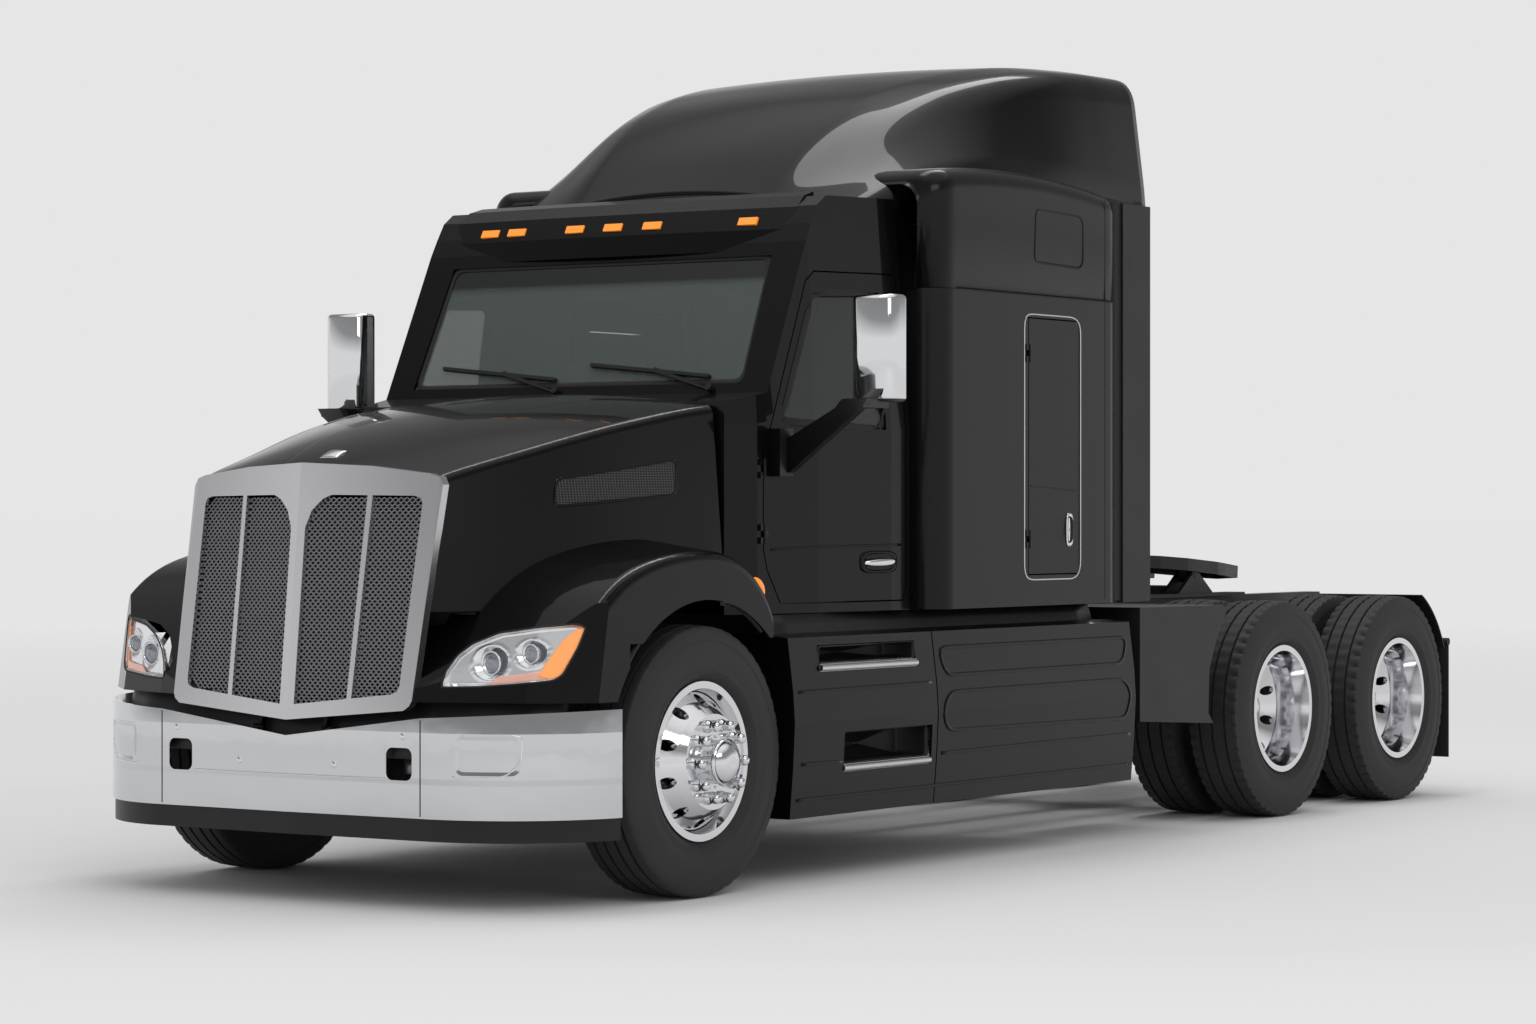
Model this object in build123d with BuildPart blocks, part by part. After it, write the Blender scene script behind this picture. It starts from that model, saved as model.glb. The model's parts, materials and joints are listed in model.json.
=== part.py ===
from build123d import *
import os
from math import atan2, cos, degrees, radians, sin

# A three-axle conventional highway tractor with a raised-roof sleeper, in millimetres.
# +X is the vehicle's left, +Y its rear and +Z up. The origin is on the ground, midway along its length.

# ---- Along the vehicle ----
front_overhang = 1050
front_to_first_drive = 4805
tandem_spacing = 1285
rear_overhang = 680
overall_length = front_overhang + front_to_first_drive + tandem_spacing + rear_overhang
front_axle_y = front_overhang - overall_length / 2
first_drive_y = front_axle_y + front_to_first_drive
second_drive_y = first_drive_y + tandem_spacing
tail_y = second_drive_y + rear_overhang

# ---- Wheels and tyres ----
tyre_radius = 520
steer_tyre_width = 284
drive_tyre_width = 276
tread_width = 236
bead_radius = 292
flange_radius = 305
flange_lip = 12
rim_half_width = 105
rim_wall = 14
disc_offset = 171
disc_wall = 20
disc_step = 26
hand_hole_count = 10
hand_hole_radius = 23
hand_hole_circle = 232
lug_count = 10
lug_circle = 143
lug_radius = 17
lug_height = 50
disc_bore_radius = 80
hub_radius = 104
hub_cap_radius = 84
hub_cap_height = 92
drum_radius = 205
drum_length = 130
steer_wheel_x = 1055
drive_wheel_x = 1078
dual_spacing = 2 * disc_offset + 1
spindle_radius = 42
drive_spindle_radius = 60
bearing_gap = 0.3

# ---- Steering ----
kingpin_x = 900
kingpin_radius = 22
kingpin_eye_radius = 44
kingpin_eye_height = 110
knuckle_ear = 26
steer_arm_length = 190
steer_arm_z = 400
tie_rod_radius = 18
ball_pin_radius = 12
ball_boss_radius = 24

# ---- Frame ----
axle_tube_radius = 72
frame_half_width = 432
rail_height = 270
rail_flange = 89
rail_wall = 9
rail_top = 1040
rail_front = 880
rail_bottom = rail_top - rail_height
crossmember_wall = 8
axle_beam_depth = 90
spring_width = 90
spring_x = frame_half_width - rail_flange / 2

# ---- Panels and glass ----
cab_wall = 46
sleeper_wall = 42
roof_wall = 20
hood_wall = 12
skirt_wall = 10
door_gap = 6
panel_gap = 8
glass_thickness = 6
seat_gap = 0.3
door_pin_radius = 3
door_eye_radius = 6.5
hinge_eye_height = 26
door_leaf_width = 26
door_leaf_depth = 14

os.makedirs("parts", exist_ok=True)


def aft(distance):
    """Y of a station this far behind the front axle."""
    return front_axle_y + distance


def save(part, name):
    """Labels a finished piece and writes it as its own file."""
    part.label = name
    export_step(part, f"parts/{name}.step")


def side_plane(x):
    """Faces +X, with sketch coordinates (Y, Z)."""
    return Plane(origin=(x, 0, 0), x_dir=(0, 1, 0), z_dir=(1, 0, 0))


def front_plane(y):
    """Faces -Y, with sketch coordinates (X, Z)."""
    return Plane(origin=(0, y, 0), x_dir=(1, 0, 0), z_dir=(0, -1, 0))


def wheel_plane(x, y, outward):
    """Cuts through a wheel's axis: sketch x runs out along the axle and sketch y is the radius."""
    return Plane(origin=(x, y, tyre_radius), x_dir=(outward, 0, 0), z_dir=(0, -outward, 0))


def fixed_hinges(x, y, zs, side):
    """The fixed halves of a door's butt hinges: a pin held by two eyes, on leaves ahead of the axis."""
    for z in zs:
        with Locations((side * x, y, z)):
            Cylinder(door_pin_radius, 3 * hinge_eye_height)
        for end in (-1, 1):
            eye_z = z + end * (hinge_eye_height + seat_gap)
            with Locations((side * x, y, eye_z)):
                Cylinder(door_eye_radius, hinge_eye_height)
            block(
                (side * (x - door_leaf_depth), y - door_leaf_width, eye_z - hinge_eye_height / 2),
                (side * x, y - 1, eye_z + hinge_eye_height / 2),
            )


def moving_hinges(x, y, zs, side):
    """The door's halves of its butt hinges: one bored eye each, on a leaf behind the axis."""
    for z in zs:
        with Locations((side * x, y, z)):
            Cylinder(door_eye_radius, hinge_eye_height)
        block(
            (side * (x - door_leaf_depth), y + door_pin_radius + 1, z - hinge_eye_height / 2),
            (side * x, y + door_leaf_width, z + hinge_eye_height / 2),
        )
        with Locations((side * x, y, z)):
            Cylinder(door_pin_radius + bearing_gap, 3 * hinge_eye_height, mode=Mode.SUBTRACT)


def block(low, high, mode=Mode.ADD):
    """An upright block between two corners, added to the current piece or cut from it."""
    size = [abs(high[i] - low[i]) for i in range(3)]
    centre = [(high[i] + low[i]) / 2 for i in range(3)]
    with Locations(tuple(centre)):
        return Box(*size, mode=mode)


# ============================================================
# Wheels: each profile is (distance out along the axle, radius)
# ============================================================
tyre_crown = tyre_radius - 6
tyre_shoulder_radius = tyre_radius - 22
tyre_bulge_radius = 402


def tyre_ring(x, y, outward, width):
    """A road tyre with a crowned tread, rounded shoulders and bulged sidewalls, bored to its beads."""
    half = width / 2
    tread = tread_width / 2
    bead_x = rim_half_width - 1
    with BuildSketch(wheel_plane(x, y, outward)) as profile:
        with BuildLine():
            ThreePointArc((-tread, tyre_crown), (0, tyre_radius), (tread, tyre_crown))
            Line((tread, tyre_crown), (half - 8, tyre_shoulder_radius - 20))
            ThreePointArc(
                (half - 8, tyre_shoulder_radius - 20),
                (half, tyre_bulge_radius),
                (bead_x, flange_radius + 4),
            )
            Polyline(
                (bead_x, flange_radius + 4),
                (bead_x, bead_radius),
                (-bead_x, bead_radius),
                (-bead_x, flange_radius + 4),
            )
            ThreePointArc(
                (-bead_x, flange_radius + 4),
                (-half, tyre_bulge_radius),
                (8 - half, tyre_shoulder_radius - 20),
            )
            Line((8 - half, tyre_shoulder_radius - 20), (-tread, tyre_crown))
        make_face()
    revolve(profile.sketch, axis=Axis((x, y, tyre_radius), (1, 0, 0)))


def rim_ring(x, y, outward):
    """The barrel of a drop-centre rim, with its two flanges."""
    edge = rim_half_width
    seat = bead_radius - seat_gap
    well = seat - rim_wall - 20
    with BuildSketch(wheel_plane(x, y, outward)) as profile:
        with BuildLine():
            Polyline(
                (-edge - flange_lip, flange_radius),
                (-edge, flange_radius),
                (-edge, seat),
                (edge, seat),
                (edge, flange_radius),
                (edge + flange_lip, flange_radius),
                (edge + flange_lip, seat - rim_wall),
                (edge * 0.45, well),
                (-edge * 0.45, well),
                (-edge - flange_lip, seat - rim_wall),
                close=True,
            )
        make_face()
    revolve(profile.sketch, axis=Axis((x, y, tyre_radius), (1, 0, 0)))


def wheel_disc(x, y, outward, bulge):
    """The wheel's disc with its hand holes. bulge is 1 where it stands out of the rim and -1 where it is dished."""
    face = disc_offset * bulge
    back = face - disc_wall * bulge
    well = bead_radius - rim_wall - 20
    turn = rim_half_width * 0.5 * bulge
    with BuildSketch(wheel_plane(x, y, outward)) as profile:
        with BuildLine():
            Polyline(
                (back, disc_bore_radius),
                (face, disc_bore_radius),
                (face, 182),
                (face - disc_step * bulge, 205),
                (turn + disc_wall * bulge, well + 4),
                (turn, well + 4),
                (back - disc_step * bulge, 198),
                (back, 178),
                close=True,
            )
        make_face()
    revolve(profile.sketch, axis=Axis((x, y, tyre_radius), (1, 0, 0)))
    with BuildSketch(side_plane(x)) as holes:
        with Locations((y, tyre_radius)):
            with PolarLocations(hand_hole_circle, hand_hole_count, start_angle=18):
                Circle(hand_hole_radius)
    extrude(holes.sketch, amount=dual_spacing / 2 - 10, both=True, mode=Mode.SUBTRACT)


def hub(x, y, outward, inner, outer, cap_height, bore):
    """A hub and drum from inner to outer along the axle, with lug nuts, a domed cap and a blind bearing bore."""
    with BuildSketch(wheel_plane(x, y, outward)) as profile:
        with BuildLine():
            Polyline(
                (inner, bore),
                (inner, drum_radius),
                (inner + drum_length, drum_radius),
                (inner + drum_length, hub_radius),
                (outer + 6, hub_radius),
                (outer + 6, hub_cap_radius),
                (outer + cap_height * 0.35, hub_cap_radius),
            )
            ThreePointArc(
                (outer + cap_height * 0.35, hub_cap_radius),
                (outer + cap_height * 0.86, hub_cap_radius * 0.7),
                (outer + cap_height, 14),
            )
            Polyline(
                (outer + cap_height, 14),
                (outer + cap_height, 0),
                (outer + cap_height * 0.2, 0),
                (outer + cap_height * 0.2, bore),
                (inner, bore),
            )
        make_face()
    revolve(profile.sketch, axis=Axis((x, y, tyre_radius), (1, 0, 0)))
    with BuildSketch(side_plane(x + outward * outer)) as lugs:
        with Locations((y, tyre_radius)):
            with PolarLocations(lug_circle, lug_count):
                Circle(lug_radius)
    extrude(lugs.sketch, amount=lug_height * outward)


for side_name, side in (("left", 1), ("right", -1)):
    with BuildPart() as steer_tyre:
        tyre_ring(side * steer_wheel_x, front_axle_y, side, steer_tyre_width)
    save(steer_tyre.part, f"steer_tyre_{side_name}")

    with BuildPart() as steer_wheel:
        wheel_disc(side * steer_wheel_x, front_axle_y, side, 1)
        rim_ring(side * steer_wheel_x, front_axle_y, side)
        hub(side * steer_wheel_x, front_axle_y, side, -70, disc_offset, hub_cap_height, spindle_radius + bearing_gap)
    save(steer_wheel.part, f"steer_wheel_{side_name}")

    for axle_name, axle_y in (("front", first_drive_y), ("rear", second_drive_y)):
        mate_x = side * (drive_wheel_x - dual_spacing / 2)
        with BuildPart() as drive_tyres:
            for tyre_x in (drive_wheel_x, drive_wheel_x - dual_spacing):
                tyre_ring(side * tyre_x, axle_y, side, drive_tyre_width)
        save(drive_tyres.part, f"drive_tyres_{axle_name}_{side_name}")

        with BuildPart() as drive_wheels:
            wheel_disc(side * drive_wheel_x, axle_y, side, -1)
            wheel_disc(side * (drive_wheel_x - dual_spacing), axle_y, side, 1)
            for tyre_x in (drive_wheel_x, drive_wheel_x - dual_spacing):
                rim_ring(side * tyre_x, axle_y, side)
            hub(mate_x, axle_y, side, -230, disc_wall, 130, drive_spindle_radius + bearing_gap)
        save(drive_wheels.part, f"drive_wheels_{axle_name}_{side_name}")

# ============================================================
# Front axle, knuckles and tie rod
# ============================================================
beam_z = tyre_radius - 60
with BuildPart() as front_axle:
    with BuildSketch(front_plane(front_axle_y)):
        with BuildLine():
            Polyline(
                (kingpin_x, tyre_radius + 45),
                (kingpin_x, tyre_radius - 45),
                (kingpin_x - 60, tyre_radius - 45),
                (kingpin_x - 150, beam_z - 35),
                (spring_x - 60, beam_z - 60),
                (60 - spring_x, beam_z - 60),
                (150 - kingpin_x, beam_z - 35),
                (60 - kingpin_x, tyre_radius - 45),
                (-kingpin_x, tyre_radius - 45),
                (-kingpin_x, tyre_radius + 45),
                (110 - kingpin_x, beam_z + 40),
                (-spring_x - 60, beam_z + 20),
                (spring_x + 60, beam_z + 20),
                (kingpin_x - 110, beam_z + 40),
                close=True,
            )
        make_face()
    extrude(amount=axle_beam_depth / 2, both=True)
    with Locations((kingpin_x, front_axle_y, tyre_radius), (-kingpin_x, front_axle_y, tyre_radius)):
        Cylinder(kingpin_eye_radius, kingpin_eye_height)
        Cylinder(kingpin_radius + bearing_gap, kingpin_eye_height + 40, mode=Mode.SUBTRACT)
save(front_axle.part, "front_axle")

for side_name, side in (("left", 1), ("right", -1)):
    pin = side * kingpin_x
    ear_z = kingpin_eye_height / 2 + bearing_gap + knuckle_ear / 2
    with BuildPart() as knuckle:
        with Locations((pin, front_axle_y, tyre_radius)):
            Cylinder(kingpin_radius, kingpin_eye_height + 2 * knuckle_ear)
        for z in (tyre_radius + ear_z, tyre_radius - ear_z):
            with Locations((pin, front_axle_y, z)):
                Cylinder(kingpin_eye_radius - 4, knuckle_ear)
            with Locations((pin + side * 40, front_axle_y, z)):
                Box(80, 70, knuckle_ear)
        cheek = side * (kingpin_x + kingpin_eye_radius + 6)
        block(
            (min(cheek, cheek + side * 34), front_axle_y - 35, tyre_radius - ear_z - knuckle_ear / 2),
            (max(cheek, cheek + side * 34), front_axle_y + 35, tyre_radius + ear_z + knuckle_ear / 2),
        )
        with BuildSketch(side_plane(cheek)):
            with Locations((front_axle_y, tyre_radius)):
                Circle(spindle_radius)
        extrude(amount=side * (steer_wheel_x + disc_offset - kingpin_x - kingpin_eye_radius - 20))
        # The steering arm runs back from the lower ear and ends in the ball pin.
        arm_top = tyre_radius - ear_z + knuckle_ear / 2
        block(
            (pin - 18, front_axle_y, arm_top - knuckle_ear),
            (pin + 18, front_axle_y + steer_arm_length, arm_top),
        )
        with Locations((pin, front_axle_y + steer_arm_length, (arm_top + steer_arm_z - 24) / 2)):
            Cylinder(ball_pin_radius, arm_top - steer_arm_z + 24)
    save(knuckle.part, f"knuckle_{side_name}")

with BuildPart() as tie_rod:
    with BuildSketch(side_plane(0)):
        with Locations((front_axle_y + steer_arm_length, steer_arm_z)):
            Circle(tie_rod_radius)
    extrude(amount=kingpin_x, both=True)
    with Locations(
        (kingpin_x, front_axle_y + steer_arm_length, steer_arm_z),
        (-kingpin_x, front_axle_y + steer_arm_length, steer_arm_z),
    ):
        Cylinder(ball_boss_radius, 36)
        Cylinder(ball_pin_radius + bearing_gap, 80, mode=Mode.SUBTRACT)
save(tie_rod.part, "tie_rod")

# ============================================================
# Frame, engine, suspension and drive axles
# ============================================================
tail_lamp_depth = 24
rail_tail_y = tail_y - tail_lamp_depth - 10 - seat_gap
crossmember_ys = (aft(1700), aft(3050), aft(4150), first_drive_y + tandem_spacing / 2, rail_tail_y - 30)
hinge_y = aft(-1014)
hinge_z = 655
hinge_pin_radius = 7
hinge_eye_radius = 12
hinge_ear_x = 190
hinge_ear_wall = 14

with BuildPart() as frame_rails:
    for side in (1, -1):
        web = side * frame_half_width
        with BuildSketch(front_plane(aft(-rail_front))):
            with BuildLine():
                Polyline(
                    (web, rail_bottom),
                    (web, rail_top),
                    (web - side * rail_flange, rail_top),
                    (web - side * rail_flange, rail_top - rail_wall),
                    (web - side * rail_wall, rail_top - rail_wall),
                    (web - side * rail_wall, rail_bottom + rail_wall),
                    (web - side * rail_flange, rail_bottom + rail_wall),
                    (web - side * rail_flange, rail_bottom),
                    close=True,
                )
            make_face()
        extrude(amount=-(rail_tail_y - aft(-rail_front)))
        # The bumper and hood hinge bracket at the front end of the rail
        block(
            (web, aft(-rail_front) - 70, 430),
            (web - side * rail_wall, aft(-rail_front) + 160, rail_bottom - 20),
        )
        block(
            (web, aft(-rail_front) + 1, rail_bottom - 30),
            (web - side * rail_wall, aft(-rail_front) + 160, rail_bottom + 60),
        )
        ear = side * hinge_ear_x
        with BuildSketch(side_plane(ear)):
            with BuildLine():
                Polyline(
                    (hinge_y, hinge_z - hinge_eye_radius),
                    (hinge_y, hinge_z + hinge_eye_radius),
                    (hinge_y + 40, hinge_z + hinge_eye_radius),
                    (aft(-rail_front) + 36, rail_bottom + 20),
                    (aft(-rail_front) + 36, rail_bottom - 120),
                    close=True,
                )
            make_face()
            with Locations((hinge_y, hinge_z)):
                Circle(hinge_eye_radius)
        extrude(amount=hinge_ear_wall / 2, both=True)
        block(
            (web, aft(-rail_front), rail_bottom - 40),
            (ear, aft(-rail_front) + 36, rail_bottom + 60),
        )
        with BuildSketch(side_plane(ear)):
            with Locations((hinge_y, hinge_z)):
                Circle(hinge_pin_radius)
        extrude(amount=side * -45)
    inner_half = frame_half_width - rail_wall
    for y in crossmember_ys:
        block((-inner_half, y - 40, rail_bottom + 30), (inner_half, y + 40, rail_top - 30))
    block((-inner_half, aft(-850), rail_bottom + rail_wall), (inner_half, aft(-750), rail_bottom + 30 - seat_gap))
save(frame_rails.part, "frame_rails")

with BuildPart() as engine:
    block((-330, aft(-700), 600), (330, aft(420), rail_bottom))
    block((-300, aft(-700), rail_bottom), (300, aft(420), 1480))
    block((-330, aft(-840), rail_bottom + 30), (330, aft(-760), rail_top))
    block((-430, aft(-840), rail_top + 2), (430, aft(-760), 1500))
    block((-200, aft(-765), 900), (200, aft(-695), 1300))
save(engine.part, "engine")

with BuildPart() as suspension:
    for side in (1, -1):
        # Front leaf springs sit on the axle beam and hang from the rails.
        x = side * spring_x
        with BuildSketch(side_plane(x)):
            with BuildLine():
                ThreePointArc((aft(-640), 720), (aft(0), beam_z + 22), (aft(760), 720))
                Line((aft(760), 720), (aft(760), 765))
                ThreePointArc((aft(760), 765), (aft(0), beam_z + 85), (aft(-640), 765))
                Line((aft(-640), 765), (aft(-640), 720))
            make_face()
        extrude(amount=spring_width / 2, both=True)
        for shackle_y in (aft(-640), aft(760)):
            block((x - 30, shackle_y - 40, 725), (x + 30, shackle_y + 40, rail_bottom))
        # Each drive axle hangs on a trailing arm and an air bag.
        for axle_y in (first_drive_y, second_drive_y):
            with BuildSketch(side_plane(x)):
                with BuildLine():
                    Polyline(
                        (axle_y - 520, 600),
                        (axle_y - 120, tyre_radius + axle_tube_radius + seat_gap),
                        (axle_y + 120, tyre_radius + axle_tube_radius + seat_gap),
                        (axle_y + 420, 500),
                        (axle_y + 420, 560),
                        (axle_y + 120, 665),
                        (axle_y - 120, 665),
                        (axle_y - 520, 690),
                        close=True,
                    )
                make_face()
            extrude(amount=35, both=True)
            block((x - 40, axle_y - 560, 560), (x + 40, axle_y - 480, rail_bottom))
            with Locations((x, axle_y + 360, 540)):
                Cylinder(38, rail_bottom - 540, align=(Align.CENTER, Align.CENTER, Align.MIN))
            with Locations((x, axle_y + 360, 575)):
                Cylinder(115, rail_bottom - 60 - 575, align=(Align.CENTER, Align.CENTER, Align.MIN))
save(suspension.part, "suspension")

spindle_inner_x = drive_wheel_x - dual_spacing / 2 - 230
with BuildPart() as drive_axles:
    for axle_y in (first_drive_y, second_drive_y):
        with BuildSketch(side_plane(0)):
            with Locations((axle_y, tyre_radius)):
                Circle(axle_tube_radius)
        extrude(amount=spindle_inner_x - 12, both=True)
        with BuildSketch(side_plane(0)):
            with Locations((axle_y, tyre_radius)):
                Circle(drive_spindle_radius)
        extrude(amount=drive_wheel_x - dual_spacing / 2 + disc_wall, both=True)
        with Locations((60, axle_y, tyre_radius)):
            Sphere(205)
        with BuildSketch(front_plane(axle_y)):
            with Locations((60, tyre_radius + 40)):
                Circle(70)
        extrude(amount=330)
    with BuildSketch(Plane(origin=(60, second_drive_y, tyre_radius + 40), x_dir=(1, 0, 0), z_dir=(0, -1, 0))):
        Circle(52)
    extrude(amount=tandem_spacing)
    shaft_path = Line((60, first_drive_y - 300, tyre_radius + 40), (0, aft(1200), 700))
    with BuildSketch(Plane(origin=shaft_path @ 0, z_dir=shaft_path % 0)):
        Circle(52)
    extrude(amount=shaft_path.length)
save(drive_axles.part, "drive_axles")

# ============================================================
# Bumper and valance: plan outlines are (X, Y behind the front axle)
# ============================================================
bumper_bottom = 345
bumper_top = 745
bumper_wall = 8
bumper_v_depth = 115
bumper_break_x = 640
bumper_end_x = 1220
bumper_end_y = -575
bumper_seam_top = 713
valance_bottom = 262
valance_inset = bumper_wall + seat_gap
tow_hole = 120


def nose_plan(inset):
    """Half the bumper's plan outline, inset from its outer face and closed along the centre and the wheel arch."""
    front = -front_overhang + inset
    with BuildSketch(Plane.XY) as plan:
        with BuildLine():
            Line((0, aft(bumper_end_y)), (0, aft(front)))
            Line((0, aft(front)), (bumper_break_x - inset * 0.3, aft(front + 14)))
            ThreePointArc(
                (bumper_break_x - inset * 0.3, aft(front + 14)),
                (1010 - inset * 0.6, aft(-912 + inset)),
                (bumper_end_x - inset, aft(bumper_end_y)),
            )
            Line((bumper_end_x - inset, aft(bumper_end_y)), (0, aft(bumper_end_y)))
        make_face()
    return plan.sketch


with BuildPart() as bumper:
    extrude(Plane.XY.offset(bumper_bottom) * nose_plan(0), amount=bumper_top - bumper_bottom)
    extrude(Plane.XY.offset(bumper_bottom - 1) * nose_plan(bumper_wall), amount=500, mode=Mode.SUBTRACT)
    with BuildSketch(front_plane(aft(-front_overhang - 50))):
        with BuildLine():
            Polyline(
                (-10, bumper_top - bumper_v_depth),
                (bumper_break_x, bumper_seam_top),
                (bumper_end_x + 20, bumper_top),
                (bumper_end_x + 20, bumper_top + 60),
                (-10, bumper_top + 60),
                close=True,
            )
        make_face()
    extrude(amount=-600, mode=Mode.SUBTRACT)
    with BuildSketch(front_plane(aft(-front_overhang - 50))):
        with Locations((541, 542)):
            RectangleRounded(tow_hole, tow_hole, 28)
    extrude(amount=-200, mode=Mode.SUBTRACT)
    # Brackets back to the frame horns
    block((frame_half_width + seat_gap, aft(-1000), 460), (frame_half_width + 12, aft(-820), 620))
    block((frame_half_width, aft(-1040), 460), (frame_half_width + 40, aft(-1000), 620))
    mirror(about=Plane.YZ)
save(bumper.part, "bumper")

with BuildPart() as bumper_valance:
    extrude(Plane.XY.offset(valance_bottom) * nose_plan(valance_inset), amount=bumper_bottom - valance_bottom + 30)
    extrude(
        Plane.XY.offset(valance_bottom - 1) * nose_plan(valance_inset + bumper_wall),
        amount=500,
        mode=Mode.SUBTRACT,
    )
    mirror(about=Plane.YZ)
save(bumper_valance.part, "bumper_valance")

# ============================================================
# Cab: side outlines are (Y behind the front axle, Z), front outlines are (X, Z)
# ============================================================
cab_half_width = 1080
cab_bottom = 1062
cab_back_y = 1622
sill_top = 1105
firewall_y = 490
cowl_top = 1945
windshield_foot_y = 712
windshield_head_y = 1000
windshield_head = 2565
cab_roof = 2770
cab_brow_y = 1150
belt_z = 1810


cab_side = [
    (aft(firewall_y), cab_bottom),
    (aft(firewall_y), cowl_top - 40),
    (aft(windshield_foot_y), cowl_top),
    (aft(windshield_head_y), windshield_head),
    (aft(windshield_head_y + 40), windshield_head + 75),
    (aft(windshield_head_y + 85), windshield_head + 150),
    (aft(cab_brow_y), cab_roof - 12),
    (aft(cab_back_y), cab_roof),
    (aft(cab_back_y), cab_bottom),
]
cab_lean = 4.5
cab_plan = [
    (cab_half_width, cab_back_y + 200),
    (-cab_half_width, cab_back_y + 200),
    (-cab_half_width, 1480),
    (-1035, 1000),
    (-985, 640),
    (-930, firewall_y),
    (930, firewall_y),
    (985, 640),
    (1035, 1000),
    (cab_half_width, 1480),
]


def plan_points(points):
    """Moves plan points from distances behind the front axle to the vehicle's frame."""
    return [(x, aft(y)) for x, y in points]


def cab_volume(inset):
    """The cab's outer volume, or what is left of it inside a wall of the given thickness."""
    with BuildPart(mode=Mode.PRIVATE) as volume:
        with BuildSketch(side_plane(0)) as side_view:
            with BuildLine():
                Polyline(*cab_side, close=True)
            make_face()
            if inset:
                offset(amount=-inset, mode=Mode.REPLACE)
        extrude(side_view.sketch, amount=cab_half_width + 10, both=True)
        with BuildPart(mode=Mode.PRIVATE) as upright:
            with BuildSketch(Plane.XY) as plan_view:
                with BuildLine():
                    Polyline(*plan_points(cab_plan), close=True)
                make_face()
                if inset:
                    offset(amount=-inset, mode=Mode.REPLACE)
            extrude(Plane.XY.offset(belt_z) * plan_view.sketch, amount=-belt_z)
            extrude(Plane.XY.offset(belt_z) * plan_view.sketch, amount=1000, taper=cab_lean)
        add(upright.part, mode=Mode.INTERSECT)
    return volume.part


door_outline = [
    (aft(778), 1105),
    (aft(700), 1240),
    (aft(679), 1320),
    (aft(679), 1711),
    (aft(985), 2400),
    (aft(1040), 2440),
    (aft(1569), 2450),
    (aft(1585), 2400),
    (aft(1585), 1150),
    (aft(1562), 1105),
]
window_outline = [
    (aft(785), 1832),
    (aft(1022), 2354),
    (aft(1453), 2373),
    (aft(1446), 1805),
]
windshield_outline = [(850, 1985), (826, 2510), (-826, 2510), (-850, 1985)]


def side_prism(points, grow=0, low=900, high=1300):
    """A prism across one side wall, from its side outline grown evenly by the given amount."""
    with BuildPart(mode=Mode.PRIVATE) as prism:
        with BuildSketch(side_plane(low)) as side_view:
            with BuildLine():
                Polyline(*points, close=True)
            make_face()
            if grow:
                offset(amount=grow, kind=Kind.INTERSECTION, mode=Mode.REPLACE)
        extrude(side_view.sketch, amount=high - low)
    return prism.part


def windshield_prism(grow=0):
    """A prism through the windshield's opening."""
    with BuildPart(mode=Mode.PRIVATE) as prism:
        with BuildSketch(front_plane(aft(300))) as front_view:
            with BuildLine():
                Polyline(*windshield_outline, close=True)
            make_face()
            if grow:
                offset(amount=grow, kind=Kind.INTERSECTION, mode=Mode.REPLACE)
        extrude(front_view.sketch, amount=-1000)
    return prism.part


# The mirror's arm, in the front view, from its base on the door to the head
mirror_arm = [(1000, 1625), (1050, 1625), (1395, 1880), (1420, 1915), (1300, 1915), (1270, 1880), (1040, 1760), (1000, 1750)]
mirror_arm_y = 770
mirror_arm_depth = 40
door_hinge_x = 997
door_hinge_y = aft(676)
door_hinge_zs = (1380, 1640)

cab_outer = cab_volume(0)
cab_inner = cab_volume(cab_wall)
cab_walls = cab_outer - cab_inner

with BuildPart() as cab_shell:
    add(cab_walls)
    for flip in (False, True):
        opening = side_prism(door_outline, grow=door_gap, low=940)
        add(mirror(opening, about=Plane.YZ) if flip else opening, mode=Mode.SUBTRACT)
    add(windshield_prism(), mode=Mode.SUBTRACT)
    # The pass-through to the sleeper
    with BuildSketch(front_plane(aft(cab_back_y - 100))):
        with Locations((0, 1850)):
            RectangleRounded(1300, 1300, 120)
    extrude(amount=-200, mode=Mode.SUBTRACT)
    for side in (1, -1):
        fixed_hinges(door_hinge_x, door_hinge_y, door_hinge_zs, side)
        for y in (600, 1500):
            pad = side * (frame_half_width - 10)
            block((pad, aft(y), rail_top + seat_gap), (pad - side * 70, aft(y + 90), cab_bottom + 5))
save(cab_shell.part, "cab_shell")

glass_outer = cab_volume(14)
glass_sheet = glass_outer - cab_volume(14 + glass_thickness)

with BuildPart() as windshield:
    add(glass_sheet & windshield_prism(-seat_gap))
save(windshield.part, "windshield")

visor_profile = [
    (968, 2532),
    (992, 2620),
    (1040, 2712),
    (1100, 2762),
    (1180, 2784),
    (1180, 2740),
    (1030, 2600),
    (985, 2532),
]
visor_half_width = 890
visor_bow = 42
with BuildPart() as sun_visor:
    bow_radius = visor_half_width**2 / (2 * visor_bow)
    swing = degrees(atan2(visor_half_width, bow_radius))
    bow_centre = (0, aft(visor_profile[0][0]) + bow_radius, 0)
    with BuildSketch(side_plane(0)) as visor_view:
        with BuildLine():
            Polyline(*[(aft(y), z) for y, z in visor_profile], close=True)
        make_face()
    start = visor_view.sketch.rotate(Axis(bow_centre, (0, 0, 1)), -swing)
    revolve(start, axis=Axis(bow_centre, (0, 0, 1)), revolution_arc=2 * swing)
    add(cab_volume(-seat_gap), mode=Mode.SUBTRACT)
save(sun_visor.part, "sun_visor")

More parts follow.
